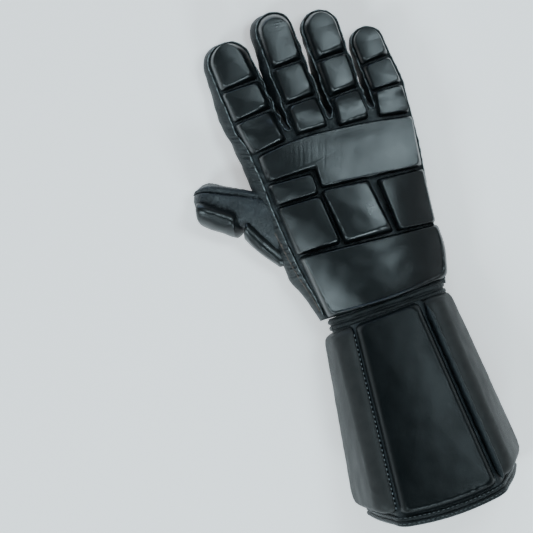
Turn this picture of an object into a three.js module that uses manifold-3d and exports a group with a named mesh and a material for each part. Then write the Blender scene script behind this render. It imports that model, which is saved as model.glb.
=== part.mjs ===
// Escrima glove for the right hand: padded leather fingers, back and thumb, and a long flared gauntlet
// that wraps the forearm and closes with a flap along its palm side.
// Millimetres, +Z up. The glove lies palm down: +Y runs to the fingertips, +X to the little finger.
// It is drawn with y = 0 at the wrist seam and z = 0 on the surface that it lies on. At the end the
// whole glove is moved sideways, so that its origin is below the middle of its box.

import * as THREE from 'three';
import { mergeVertices } from 'three/addons/utils/BufferGeometryUtils.js';
import Module from 'manifold-3d';

const { lerp, clamp, smoothstep, degToRad } = THREE.MathUtils;
const wasm = await Module();
wasm.setup();

// Driving sizes
const LEATHER = 2.0; // wall of the hand, the fingers, the thumb and the gauntlet
const LINING = 1.2; // cloth inside the back of the hand
const GAP = 0.3; // between pieces that are sewn together
const FINGER_PAD = 8.5; // foam blocks, from the leather under them to their top
const FINGER_PAD_SPREAD = 1.0; // they swell past their stitched outline by this much
const HAND_PAD = 9.5;
const THUMB_PAD = 7.0;
const GAUNTLET_PAD = 8.5;
const PALM_PAD = 8.8; // the gauntlet's palm side lies on this one
const PAD_SHOULDER = { height: 0.72, inset: 0.8, topInset: 2.8, corner: 3.0 }; // rounded edge of a block
const HAND_START = 3.2; // the hand's shell begins here, past the wrist bindings
const WRIST_MIDDLE = -0.9; // between the two wrist bindings
const GAUNTLET_START = -5.4; // and the gauntlet's shell begins here
const HEM_WIDTH = 7.0;
const HEM_PROUD = 1.2; // how far the hem binding stands out of the shell on each side
const BOX_MIDDLE = { x: -22.6, y: 33.4 }; // middle of the whole glove
const DEPTH = { low: -60, high: 90 }; // cutting bodies reach from below the glove to above it
const FAR = { radial: -130, ulnar: 130, fingers: 240, wrist: -40 }; // and past it on every side

// A table's rows as objects, their values named by the columns.
function table(columns, rows) {
  return rows.map((row) => Object.fromEntries(columns.map((name, i) => [name, row[i]])));
}

// The hand from the wrist to the knuckles: edges of the back and palm panels, and the back's heights
const HAND_COLUMNS = ['y', 'backRadial', 'backUlnar', 'palmRadial', 'palmUlnar', 'radialZ', 'ulnarZ', 'crown'];
const HAND_ROWS = table(HAND_COLUMNS, [
  [3.2, -41.0, 42.0, -36, 36, 24, 22, 17],
  [15, -42.0, 44.5, -37, 38, 24, 21, 17],
  [40, -48.2, 45.8, -42, 38, 24, 20, 15],
  [60, -50.8, 48.3, -45, 40, 24, 19, 14],
  [80, -53.5, 51.0, -48, 43, 24, 19, 12],
  [105, -54.7, 53.5, -50, 45, 23, 18, 10],
  [128, -58.0, 54.0, -53, 46, 22, 17, 7],
]);
const SIDE_BULGE = { radial: 5.0, ulnar: 3.0 }; // the hand's side walls swell out by this much
const PALM_CURL = 3.0; // the palm panel's edges turn up
const WRIST_RISE = { height: 6.0, fromY: 3, toY: 32 }; // the palm panel climbs to the wrist
const BACK_TO_FINGERS = { fromY: 128, toY: 146 }; // between these, the back's heights change to the fingers'
const PALM_TO_FINGERS = { fromY: 138, toY: 158 };
const LINING_AREA = { fromY: 6, toY: 121 };
const WRIST_REACH = 25; // the hollow of the hand is cut out this far past its open end

// Each finger's back panel, at the knuckles and at the middle of its round tip, and its palm panel
const FINGER_ROOT_Y = 140;
const PALM_ROOT_Y = 158;
const FINGERS = [
  { name: 'index', rootX: -46.7, rootHalf: 15.2, tipX: -52.2, tipY: 186.0, tipHalf: 14.3,
    rootZ: 22.0, tipZ: 18.0, palmShift: -2.0, palmHalf: 10.4, radialBulge: 5.0, ulnarBulge: 1.0 },
  { name: 'middle', rootX: -13.7, rootHalf: 12.3, tipX: -17.3, tipY: 198.5, tipHalf: 12.0,
    rootZ: 24.5, tipZ: 18.5, palmShift: -3.5, palmHalf: 9.8, radialBulge: 3.5, ulnarBulge: 1.0 },
  { name: 'ring', rootX: 15.4, rootHalf: 11.4, tipX: 12.8, tipY: 191.0, tipHalf: 12.0,
    rootZ: 23.0, tipZ: 17.5, palmShift: -6.0, palmHalf: 9.0, radialBulge: 3.5, ulnarBulge: 1.0 },
  { name: 'little', rootX: 43.8, rootHalf: 11.3, tipX: 40.2, tipY: 173.0, tipHalf: 10.4,
    rootZ: 20.0, tipZ: 15.5, palmShift: -5.5, palmHalf: 9.3, radialBulge: 3.5, ulnarBulge: 2.5 },
];
const CROTCHES = [
  { back: { x: -27.5, y: 131 }, palm: { x: -34.5, y: 149 } },
  { back: { x: 1.5, y: 130 }, palm: { x: -6.0, y: 147 } },
  { back: { x: 29.3, y: 129 }, palm: { x: 20.0, y: 144 } },
];
const FINGER_ARCH = 3.5; // a finger's back falls this much from its middle to its edge
const FINGER_ROLL = 0.12; // and slopes to the little finger's side
const TIP_DROP = 5.0; // and at the round tip
const TIP_STEPS = 6; // chords in the half circle of a fingertip's outline
const PALM_TIP_SHORT = 3; // a finger's palm panel ends this much before its back panel
const CROTCH_HALF = 1; // half the width of a V between two fingers
const CROTCH_BULGE = 0.5;
const TIP_BULGE = 1.5;
const SIDE_CUT = { y: 118, inner: 9, outer: 11.5 }; // beside each V, where one side wall ends

// The opening in the palm, through which a stick is felt
const PALM_OPENING = [
  { x: -43, y: 102 }, { x: -30, y: 109 }, { x: -12, y: 114 }, { x: 3, y: 113 }, { x: 15, y: 100 },
  { x: 21, y: 79 }, { x: 21, y: 56 }, { x: 20, y: 33 }, { x: 12, y: 20 }, { x: 1, y: 20 },
  { x: -8, y: 43 }, { x: -19, y: 64 }, { x: -36, y: 87 },
];
const OPENING_BINDING = { width: 3.0, height: 3.2, steps: 20 };

// The thumb, from inside the hand to the middle of its round tip
const THUMB_ROWS = [
  { x: -46, y: 58.0, z: 11.5, wide: 13.0, high: 9.5 },
  { x: -56, y: 72.0, z: 11.5, wide: 13.0, high: 10.0 },
  { x: -66, y: 84.0, z: 12.0, wide: 11.5, high: 10.5 },
  { x: -77.5, y: 93.5, z: 12.0, wide: 12.0, high: 10.5 },
  { x: -91.3, y: 102.0, z: 12.0, wide: 11.5, high: 10.5 },
];

const THUMB_SIDES = 14;

// The gauntlet's section, edge by edge round the forearm, at the wrist and at the hem
const GAUNTLET_EDGES = [
  { name: 'palm_free_edge', wristX: 14, wristZ: 8.8, hemX: 21, hemZ: 8.8, hemY: -136 },
  { name: 'radial_lower', wristX: -37.5, wristZ: 8.8, hemX: -52.0, hemZ: 8.8, hemY: -131 },
  { name: 'radial_upper', wristX: -25, wristZ: 41, hemX: -33.5, hemZ: 70, hemY: -141 },
  { name: 'ulnar_upper', wristX: 23, wristZ: 40, hemX: 38.5, hemZ: 67, hemY: -139.5 },
  { name: 'ulnar_lower', wristX: 38, wristZ: 10.0, hemX: 52.5, hemZ: 10.0, hemY: -129 },
  { name: 'underlap_end', wristX: 19, wristZ: 10.0, hemX: 26, hemZ: 10.0, hemY: -134 },
];
const GAUNTLET_ROUNDING = [0, 8, 7, 7, 8, 0]; // radius at each of those edges
const GAUNTLET_PANELS = [
  { name: 'palm', crown: 0, steps: [] },
  { name: 'radial', crown: 1.5, steps: [0.5] },
  { name: 'back', crown: 2.5, steps: [0.33, 0.67] },
  { name: 'ulnar', crown: 1.5, steps: [0.5] },
  { name: 'underlap', crown: 0, steps: [] },
];
const HEM_BOW = 4.0; // the hem's middle on the back hangs past its corners

// Small tools for solids

// A closed surface, its corners merged, becomes a solid.
function solidFrom(geometry) {
  const bare = new THREE.BufferGeometry();
  bare.setAttribute('position', geometry.getAttribute('position').clone());
  bare.setIndex(geometry.index);
  const merged = mergeVertices(bare, 1e-4);
  const mesh = new wasm.Mesh({
    numProp: 3,
    vertProperties: merged.getAttribute('position').array,
    triVerts: new Uint32Array(merged.index.array),
  });
  const solid = new wasm.Manifold(mesh);
  if (solid.volume() > 0) return solid;
  mesh.triVerts.forEach((_, i) => {
    if (i % 3 === 1) [mesh.triVerts[i], mesh.triVerts[i + 1]] = [mesh.triVerts[i + 1], mesh.triVerts[i]];
  });
  return new wasm.Manifold(mesh);
}

// A solid becomes a geometry. Corners closer than a hundredth of a millimetre are joined.
function geometryFrom(solid) {
  const mesh = solid.getMesh();
  const geometry = new THREE.BufferGeometry();
  geometry.setAttribute('position', new THREE.BufferAttribute(new Float32Array(mesh.vertProperties), 3));
  geometry.setIndex(new THREE.BufferAttribute(new Uint32Array(mesh.triVerts), 1));
  const merged = mergeVertices(geometry, 0.01);
  const old = merged.index.array;
  const kept = [];
  for (let i = 0; i < old.length; i += 3) {
    const [a, b, c] = [old[i], old[i + 1], old[i + 2]];
    if (a !== b && b !== c && c !== a) kept.push(a, b, c);
  }
  merged.setIndex(kept);
  merged.computeVertexNormals();
  return merged;
}

// Triangles of the strips between neighbouring lines of a grid of rows x columns vertices.
function gridTriangles(rows, columns, first, flip) {
  const triangles = [];
  for (let r = 0; r < rows - 1; r++) {
    for (let c = 0; c < columns - 1; c++) {
      const a = first + r * columns + c;
      const [b, d] = [a + 1, a + columns];
      triangles.push(...(flip ? [a, b, d, b, d + 1, d] : [a, d, b, b, d, d + 1]));
    }
  }
  return triangles;
}

// A wall between two surfaces, each a grid of points with the same rows and columns.
function wallBetween(top, bottom) {
  const rows = top.length;
  const columns = top[0].length;
  const count = rows * columns;
  const points = [...top.flat(), ...bottom.flat()];
  const triangles = gridTriangles(rows, columns, 0, false).concat(gridTriangles(rows, columns, count, true));
  const rim = [];
  for (let c = 0; c < columns - 1; c++) rim.push(c);
  for (let r = 0; r < rows - 1; r++) rim.push(r * columns + columns - 1);
  for (let c = columns - 1; c > 0; c--) rim.push((rows - 1) * columns + c);
  for (let r = rows - 1; r > 0; r--) rim.push(r * columns);
  rim.forEach((a, i) => {
    const b = rim[(i + 1) % rim.length];
    triangles.push(a, b, a + count, b, b + count, a + count);
  });
  return solidFrom(surface(points, triangles));
}

function surface(points, triangles) {
  const geometry = new THREE.BufferGeometry();
  const values = points.flatMap((p) => [p.x, p.y, p.z]);
  geometry.setAttribute('position', new THREE.Float32BufferAttribute(values, 3));
  geometry.setIndex(triangles);
  return geometry;
}

// A solid through closed rings with equal numbers of points. flat(point) gives an end ring's plane.
function loft(rings, flat) {
  const count = rings[0].length;
  const points = rings.flat();
  const triangles = [];
  for (let r = 0; r < rings.length - 1; r++) {
    for (let i = 0; i < count; i++) {
      const a = r * count + i;
      const b = r * count + ((i + 1) % count);
      triangles.push(a, b, a + count, b, b + count, a + count);
    }
  }
  const firstCap = THREE.ShapeUtils.triangulateShape(rings[0].map(flat), []);
  const lastCap = THREE.ShapeUtils.triangulateShape(rings[rings.length - 1].map(flat), []);
  const last = (rings.length - 1) * count;
  const turned = THREE.ShapeUtils.area(rings[0].map(flat)) < 0;
  const cap = (corners, first, up) => (up ? corners : [...corners].reverse()).map((corner) => first + corner);
  firstCap.forEach((t) => triangles.push(...cap(t, 0, false)));
  lastCap.forEach((t) => triangles.push(...cap(t, last, true)));
  if (turned) {
    const capStart = (rings.length - 1) * count * 6;
    for (let i = 0; i < capStart; i += 3) [triangles[i], triangles[i + 1]] = [triangles[i + 1], triangles[i]];
  }
  return solidFrom(surface(points, triangles));
}

// A closed tube: an outer and an inner skin of rings, open at both ends.
function tubeWall(outerRings, innerRings) {
  const count = outerRings[0].length;
  const rings = [...outerRings, ...[...innerRings].reverse()];
  const points = rings.flat();
  const triangles = [];
  for (let r = 0; r < rings.length; r++) {
    const next = (r + 1) % rings.length;
    for (let i = 0; i < count; i++) {
      const j = (i + 1) % count;
      const [a, b, c, d] = [r * count + i, r * count + j, next * count + i, next * count + j];
      triangles.push(a, b, c, b, d, c);
    }
  }
  return solidFrom(surface(points, triangles));
}

// An upright block over a flat outline of { x, y } points.
function prism(outline, low, high) {
  const shape = new THREE.Shape(outline.map((p) => new THREE.Vector2(p.x, p.y)));
  const geometry = new THREE.ExtrudeGeometry(shape, { depth: high - low, bevelEnabled: false, steps: 1 });
  geometry.deleteAttribute('normal');
  geometry.deleteAttribute('uv');
  geometry.translate(0, 0, low);
  return solidFrom(mergeVertices(geometry, 1e-4));
}

// Moves each point of a line of points outwards, to the left of its direction. Keys name the plane.
function offsetLine(line, distanceAt, closed, across = 'y') {
  const last = line.length - 1;
  return line.map((point, i) => {
    const before = line[i > 0 ? i - 1 : closed ? last : 0];
    const after = line[i < last ? i + 1 : closed ? 0 : last];
    const first = normalOf(i > 0 || closed ? before : point, i > 0 || closed ? point : after, across);
    const second = normalOf(i < last || closed ? point : before, i < last || closed ? after : point, across);
    const sum = { x: first.x + second.x, w: first.w + second.w };
    const length = Math.hypot(sum.x, sum.w) || 1;
    const turn = Math.max(0.7, length / 2);
    const distance = distanceAt(i) / turn / length;
    return { ...point, x: point.x + sum.x * distance, [across]: point[across] + sum.w * distance };
  });
}

function normalOf(from, to, across) {
  const dx = to.x - from.x;
  const dw = to[across] - from[across];
  const length = Math.hypot(dx, dw) || 1;
  return { x: -dw / length, w: dx / length };
}

const vector = (p) => new THREE.Vector3(p.x, p.y, p.z);
const flatXY = (p) => new THREE.Vector2(p.x, p.y);
const flatXZ = (p) => new THREE.Vector2(p.x, p.z);

// The hand's surfaces

// A row's value at y, between the two table rows on either side of it.
function handRow(y, key) {
  const last = HAND_ROWS.length - 1;
  const next = clamp(HAND_ROWS.findIndex((row) => row.y > y), 0, last) || (y > HAND_ROWS[last].y ? last : 1);
  const [a, b] = [HAND_ROWS[next - 1], HAND_ROWS[next]];
  return lerp(a[key], b[key], clamp((y - a.y) / (b.y - a.y), 0, 1));
}

const fingerShare = (finger, y) => (y - FINGER_ROOT_Y) / (finger.tipY - FINGER_ROOT_Y);
const fingerAxis = (finger, y) => lerp(finger.rootX, finger.tipX, fingerShare(finger, y));
const fingerAlong = (finger, y) => clamp(fingerShare(finger, y), 0, 1);

// The finger whose line is nearest to a point, and how far across and past the tip the point lies.
function nearestFinger(x, y, shiftKey) {
  const shiftOf = (finger) => (shiftKey ? finger[shiftKey] : 0);
  const distance = (finger) => Math.abs(x - fingerAxis(finger, y) - shiftOf(finger));
  const finger = FINGERS.reduce((best, each) => (distance(each) < distance(best) ? each : best));
  const half = shiftKey ? finger.palmHalf : lerp(finger.rootHalf, finger.tipHalf, fingerAlong(finger, y));
  return {
    finger,
    across: clamp((x - fingerAxis(finger, y) - shiftOf(finger)) / half, -1.2, 1.2),
    past: clamp((y - finger.tipY) / finger.tipHalf, 0, 1.1),
  };
}

// Height of the leather on the back of the hand and fingers.
function backHeight(x, y) {
  const radial = handRow(y, 'backRadial');
  const u = clamp((x - radial) / (handRow(y, 'backUlnar') - radial), -0.05, 1.05);
  const hand = lerp(handRow(y, 'radialZ'), handRow(y, 'ulnarZ'), u) + handRow(y, 'crown') * 4 * u * (1 - u);
  const { finger, across, past } = nearestFinger(x, y);
  const ridge = lerp(finger.rootZ, finger.tipZ, fingerAlong(finger, y));
  const arch = lerp(FINGER_ARCH * across ** 2, TIP_DROP, past ** 2) + FINGER_ROLL * across * finger.rootHalf;
  return lerp(hand, ridge - arch, smoothstep(y, BACK_TO_FINGERS.fromY, BACK_TO_FINGERS.toY));
}

// Height of the palm panel's outer face. It touches the surface along the middle of the palm.
function palmHeight(x, y) {
  const radial = handRow(y, 'palmRadial');
  const u = clamp((x - radial) / (handRow(y, 'palmUlnar') - radial), -0.1, 1.1);
  const climb = WRIST_RISE.height * (1 - smoothstep(y, WRIST_RISE.fromY, WRIST_RISE.toY));
  const hand = PALM_CURL * (2 * u - 1) ** 4 + climb;
  const { across, past } = nearestFinger(x, y, 'palmShift');
  const finger = PALM_CURL * Math.min(1.2, across ** 2 + past ** 2);
  return lerp(hand, finger, smoothstep(y, PALM_TO_FINGERS.fromY, PALM_TO_FINGERS.toY));
}

// Outline of the back or the palm panel, from the wrist up its radial edge, round the fingers and down.
function panelOutline(side) {
  const isBack = side === 'back';
  const [radialKey, ulnarKey] = isBack ? ['backRadial', 'backUlnar'] : ['palmRadial', 'palmUlnar'];
  const rootY = isBack ? FINGER_ROOT_Y : PALM_ROOT_Y;
  const points = HAND_ROWS.map((row) => ({ x: row[radialKey], y: row.y, bulge: SIDE_BULGE.radial }));
  FINGERS.forEach((finger, i) => {
    const shift = isBack ? 0 : finger.palmShift;
    const rootHalf = isBack ? finger.rootHalf : finger.palmHalf;
    const tipHalf = isBack ? finger.tipHalf : finger.palmHalf;
    const tipY = isBack ? finger.tipY : finger.tipY + finger.tipHalf - finger.palmHalf - PALM_TIP_SHORT;
    const middleY = (rootY + tipY) / 2;
    const halfAt = (y) => lerp(rootHalf, tipHalf, (y - rootY) / (tipY - rootY));
    const edge = (y, sign, bulge) => ({ x: fingerAxis(finger, y) + shift + sign * halfAt(y), y, bulge });
    points.push(edge(rootY, -1, finger.radialBulge), edge(middleY, -1, finger.radialBulge));
    for (let step = 0; step <= TIP_STEPS; step++) {
      const angle = Math.PI * (1 - step / TIP_STEPS);
      points.push({
        x: fingerAxis(finger, tipY) + shift + tipHalf * Math.cos(angle),
        y: tipY + tipHalf * Math.sin(angle),
        bulge: lerp(lerp(finger.radialBulge, finger.ulnarBulge, step / TIP_STEPS), TIP_BULGE, Math.sin(angle)),
      });
    }
    points.push(edge(middleY, 1, finger.ulnarBulge), edge(rootY, 1, finger.ulnarBulge));
    if (i < CROTCHES.length) {
      const { x, y } = CROTCHES[i][side];
      [-CROTCH_HALF, CROTCH_HALF].forEach((dx) => points.push({ x: x + dx, y, bulge: CROTCH_BULGE }));
    }
  });
  const ulnarEdge = HAND_ROWS.map((row) => ({ x: row[ulnarKey], y: row.y, bulge: SIDE_BULGE.ulnar }));
  return [...points, ...ulnarEdge.reverse()];
}

// The whole hand as one body, its sides swelling between the palm's and the back's outline. grow moves
// its sides out or in, and it runs past the leather at the top and bottom.
function handBody(grow, wristY) {
  const back = panelOutline('back');
  const palm = panelOutline('palm');
  const beyond = 12;
  const rings = [0, 0.3, 0.65, 1].map((level) => {
    const straight = back.map((point, i) => ({
      x: lerp(palm[i].x, point.x, level),
      y: lerp(palm[i].y, point.y, level),
      bulge: lerp(palm[i].bulge, point.bulge, level),
    }));
    const swell = 4 * level * (1 - level);
    const ring = offsetLine(straight, (i) => straight[i].bulge * swell + grow, true);
    [ring[0], ring[ring.length - 1]].forEach((end, i) => {
      end.x = (i === 0 ? straight[0].x - grow : straight[straight.length - 1].x + grow)
        + (i === 0 ? -SIDE_BULGE.radial : SIDE_BULGE.ulnar) * swell;
      end.y = wristY;
    });
    return ring.map(({ x, y }) => new THREE.Vector3(x, y, lerp(palmHeight(x, y), backHeight(x, y), level)));
  });
  const moved = (ring, dz) => ring.map((p) => new THREE.Vector3(p.x, p.y, p.z + dz));
  return loft([moved(rings[0], -beyond), ...rings, moved(rings[3], beyond)], flatXY);
}

// Lines of the height maps across and along the hand
const MAP_X = Array.from({ length: 18 }, (_, i) => -82 + 9.2 * i);
const MAP_Y = [-30, 3, 30, 60, 90, 116, 130, 144, 165, 186, 199, 216];

// A slab between two height functions, over the whole hand.
function slabBetween(low, high) {
  const grid = (height) => MAP_Y.map((y) => MAP_X.map((x) => new THREE.Vector3(x, y, height(x, y))));
  return wallBetween(grid(high), grid(low));
}

// Pads

// A foam block under leather. plan(s, t) gives a place on the panel under it, place(a, b, h) the point
// at height h over that place. Its edges fall away in two steps and its corners are cut round. Its foot
// is sunk, and is cut later.
function padBody({ plan, place, thickness, acrossLines = [0.5], alongLines = [] }) {
  const foot = 3;
  const at = (s, t, h) => place(...plan(s, t), h);
  const wide = at(0, 0.5, 0).distanceTo(at(1, 0.5, 0));
  const tall = at(0.5, 0, 0).distanceTo(at(0.5, 1, 0));
  const lines = (size, inner) => {
    const steps = [0, PAD_SHOULDER.inset / size, PAD_SHOULDER.topInset / size];
    const position = [...steps, ...inner, ...steps.map((step) => 1 - step).reverse()];
    return position.map((value, i) => ({ value, level: Math.min(i, position.length - 1 - i, 2) }));
  };
  const across = lines(wide, acrossLines);
  const along = lines(tall, alongLines);
  const heights = [-foot, thickness * PAD_SHOULDER.height, thickness];
  // How far a corner's point moves to the middle, by the levels of its own line and of the other one
  const cut = [[0.29, 0, 0], [0.33, 0.25, 0], [0, 0, 0]];
  const moved = (line, other, size) => {
    const step = (cut[line.level][other.level] * PAD_SHOULDER.corner) / size;
    return line.value + (line.value < 0.5 ? step : -step);
  };
  const point = (s, t, height) => at(moved(s, t, wide), moved(t, s, tall), height);
  const top = along.map((t) => across.map((s) => point(s, t, heights[Math.min(s.level, t.level)])));
  const bottom = along.map((t) => across.map((s) => point(s, t, -foot - 0.5)));
  return wallBetween(top, bottom);
}

// A four-sided plan from its corners, with the far and near edges bowed. spread moves its edges out.
function quadPlan({ far, near, farBow = 0, nearBow = 0, spread = 0 }) {
  const wide = Math.hypot(far[1][0] - far[0][0], far[1][1] - far[0][1]);
  const tall = Math.hypot(far[0][0] - near[0][0], far[0][1] - near[0][1]);
  return (across, along) => {
    const s = across + ((2 * across - 1) * spread) / wide;
    const t = along + ((2 * along - 1) * spread) / tall;
    const bow = 4 * across * (1 - across) * lerp(nearBow, farBow, along);
    return [
      lerp(lerp(near[0][0], near[1][0], s), lerp(far[0][0], far[1][0], s), t),
      lerp(lerp(near[0][1], near[1][1], s), lerp(far[0][1], far[1][1], s), t) + bow,
    ];
  };
}

// Blocks on the fingers: their far edge, then their near edge, each from the thumb's side
const FINGER_PADS = {
  index: [
    { far: [[-60.5, 188], [-43.5, 189]], near: [[-58.8, 170.6], [-40.8, 174.8]], farBow: 9.0, tip: true },
    { far: [[-61.2, 166.5], [-39.7, 168.3]], near: [[-57.5, 148.2], [-36.6, 154.2]] },
    { far: [[-57.6, 144.0], [-37.2, 147.6]], near: [[-53.2, 124.0], [-33.2, 130.2]] },
  ],
  middle: [
    { far: [[-25.6, 199.5], [-9.4, 199.5]], near: [[-23.4, 175.8], [-6.6, 178.6]], farBow: 6.8, tip: true },
    { far: [[-23.6, 171.3], [-6.6, 172.3]], near: [[-22.2, 150.6], [-5.0, 155.2]] },
    { far: [[-21.4, 145.4], [-5.0, 147.0]], near: [[-19.6, 129.6], [-3.2, 130.3]] },
  ],
  ring: [
    { far: [[4.6, 193.0], [20.8, 193.5]], near: [[6.8, 174.4], [23.4, 177.6]], farBow: 7.0, tip: true },
    { far: [[7.4, 168.8], [23.0, 169.8]], near: [[8.2, 148.2], [24.0, 151.3]] },
    { far: [[8.6, 143.0], [23.8, 143.8]], near: [[8.2, 126.6], [25.8, 128.8]] },
  ],
  little: [
    { far: [[32.6, 176.5], [47.6, 174.5]], near: [[35.4, 161.3], [50.6, 164.0]], farBow: 6.0, tip: true },
    { far: [[35.8, 157.0], [51.6, 158.4]], near: [[35.6, 141.2], [53.6, 142.0]] },
    { far: [[36.4, 137.6], [53.0, 138.0]], near: [[35.0, 123.2], [53.6, 120.4]] },
  ],
};

// Blocks on the back of the hand
const HAND_PADS = [
  { name: 'hand_pad_short', far: [[-49.8, 99.4], [-21.4, 98.8]], near: [[-48.8, 85.4], [-21.2, 86.8]] },
  { name: 'hand_pad_radial', far: [[-48.8, 82.6], [-21.2, 82.6]], near: [[-44.8, 50.2], [-18.0, 52.4]] },
  { name: 'hand_pad_middle', far: [[-17.4, 86.0], [11.6, 83.2]], near: [[-11.6, 51.6], [16.8, 55.0]] },
  { name: 'hand_pad_ulnar', far: [[19.0, 82.4], [50.2, 80.2]], near: [[24.2, 47.4], [46.4, 44.4]] },
];
const WRIST_PAD = {
  far: [[-45.0, 47.0], [46.0, 41.4]], near: [[-38.5, 4.6], [44.0, 7.6]], farBow: 1.0, nearBow: -1.0,
};

// The wide block over the knuckles is an L: its near edge steps at the two middle columns.
const KNUCKLE_STEP = { x: -17.8, width: 1.5 };
const KNUCKLE_COLUMNS = [
  { x: -50.0, near: 102.6, far: 119.8 },
  { x: -34.0, near: 103.8, far: 121.6 },
  { x: -18.2, near: 105.2, far: 122.0 },
  { x: -17.4, near: 90.6, far: 122.0 },
  { x: 4.0, near: 88.2, far: 121.6 },
  { x: 28.0, near: 86.4, far: 119.4 },
  { x: 51.6, near: 84.4, far: 116.6 },
];

function knucklePlan(s, t) {
  const last = KNUCKLE_COLUMNS.length - 1;
  const widest = KNUCKLE_COLUMNS[last].x - KNUCKLE_COLUMNS[0].x;
  const x = KNUCKLE_COLUMNS[0].x + s * widest;
  const next = clamp(KNUCKLE_COLUMNS.findIndex((column) => column.x > x + 1e-6), 1, last);
  const [a, b] = [KNUCKLE_COLUMNS[next - 1], KNUCKLE_COLUMNS[next]];
  const share = clamp((x - a.x) / (b.x - a.x), 0, 1);
  const near = lerp(a.near, b.near, share);
  const far = lerp(a.far, b.far, share);
  const nearStep = Math.exp(-(((x - KNUCKLE_STEP.x) / KNUCKLE_STEP.width) ** 2));
  return [x + nearStep * Math.min(PAD_SHOULDER.topInset, t * (far - near)), lerp(near, far, t)];
}

const overBack = (x, y, h) => new THREE.Vector3(x, y, backHeight(x, y) + h);

// The thumb's direction at one of its rows.
function thumbDirection(row) {
  const before = THUMB_ROWS[Math.max(0, row - 1)];
  const after = THUMB_ROWS[Math.min(THUMB_ROWS.length - 1, row + 1)];
  return vector(after).sub(vector(before)).normalize();
}

// The thumb's surface: along is a place in THUMB_ROWS, and runs one further over the round tip.
function thumbPoint(along, angle, h) {
  const last = THUMB_ROWS.length - 1;
  const base = clamp(Math.floor(along), 0, last - 1);
  const share = clamp(along - base, 0, 1);
  const [a, b] = [THUMB_ROWS[base], THUMB_ROWS[base + 1]];
  const at = (key) => lerp(a[key], b[key], share);
  const forward = thumbDirection(base).lerp(thumbDirection(base + 1), share).normalize();
  const side = new THREE.Vector3(forward.y, -forward.x, 0).normalize();
  const tip = degToRad(90) * clamp(along - last, 0, 1);
  const across = (at('wide') + h) * Math.cos(angle) * Math.cos(tip);
  const up = (at('high') + h) * Math.sin(angle) * Math.cos(tip);
  return new THREE.Vector3(at('x'), at('y'), at('z'))
    .addScaledVector(side, across)
    .addScaledVector(forward, (at('wide') + h) * Math.sin(tip))
    .add(new THREE.Vector3(0, 0, up));
}

// The thumb as one body, moved out by grow. Its open end is drawn on into the hand by extraStart.
function thumbBody(grow, extraStart) {
  const places = [0, 1, 2, 3, 4, 4.35, 4.65, 4.86];
  const rings = places.map((along) => Array.from({ length: THUMB_SIDES }, (_, i) =>
    thumbPoint(along, (2 * Math.PI * i) / THUMB_SIDES, grow)));
  const into = thumbDirection(0).multiplyScalar(-extraStart);
  const inward = rings[0].map((p) => p.clone().add(into));
  const endPlane = (p) => new THREE.Vector2(p.y + p.x * 0.3, p.z);
  return loft(extraStart > 0 ? [inward, ...rings] : rings, endPlane);
}

const overThumb = (along, turn, h) => thumbPoint(along, degToRad(turn), h);
const THUMB_PADS = [
  { name: 'thumb_base_pad', near: [[0.25, 196], [0.25, 112]], far: [[2.28, 196], [2.28, 96]] },
  { name: 'thumb_tip_pad', near: [[2.62, 197], [2.62, 98]], far: [[3.88, 194], [4.4, 98]] },
];

// The gauntlet's surfaces

function gauntletEdge(index, v) {
  const edge = GAUNTLET_EDGES[index];
  return {
    x: lerp(edge.wristX, edge.hemX, v),
    z: lerp(edge.wristZ, edge.hemZ, v),
    y: lerp(GAUNTLET_START, edge.hemY, v),
  };
}

// A point over one of the gauntlet's panels: u runs across it, v from the wrist to the hem.
function gauntletPoint(panel, u, v, h) {
  const [a, b] = [gauntletEdge(panel, v), gauntletEdge(panel + 1, v)];
  const normal = normalOf(a, b, 'z');
  const lift = h + GAUNTLET_PANELS[panel].crown * 4 * u * (1 - u);
  const bow = GAUNTLET_PANELS[panel].name === 'back' ? HEM_BOW * 4 * u * (1 - u) * v : 0;
  return new THREE.Vector3(
    lerp(a.x, b.x, u) + normal.x * lift,
    lerp(a.y, b.y, u) - bow,
    lerp(a.z, b.z, u) + normal.w * lift,
  );
}

// The outer line of the gauntlet's wall at v, round its edges, moved out by grow.
function gauntletLine(v, grow) {
  const line = [];
  GAUNTLET_EDGES.forEach((_, i) => {
    const corner = gauntletEdge(i, v);
    const radius = GAUNTLET_ROUNDING[i];
    if (radius === 0) {
      line.push(corner);
    } else {
      const toward = (other) => {
        const far = gauntletEdge(other, v);
        const share = radius / Math.hypot(far.x - corner.x, far.z - corner.z);
        return vector(corner).lerp(vector(far), share);
      };
      const [before, after] = [toward(i - 1), toward(i + 1)];
      const middle = (key) => 0.25 * before[key] + 0.5 * corner[key] + 0.25 * after[key];
      line.push(before, { x: middle('x'), y: middle('y'), z: middle('z') }, after);
    }
    if (i < GAUNTLET_PANELS.length) {
      GAUNTLET_PANELS[i].steps.forEach((u) => {
        const { x, y, z } = gauntletPoint(i, u, v, 0);
        line.push({ x, y, z });
      });
    }
  });
  return offsetLine(line, () => grow, false, 'z');
}

function gauntletWall(stations, outerGrow, innerGrow) {
  const grid = (grow) => stations.map((v) => gauntletLine(v, grow).map(vector));
  return wallBetween(grid(outerGrow), grid(innerGrow));
}

const hemShare = (width) => 1 - width / (GAUNTLET_START - GAUNTLET_EDGES[2].hemY);

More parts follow.
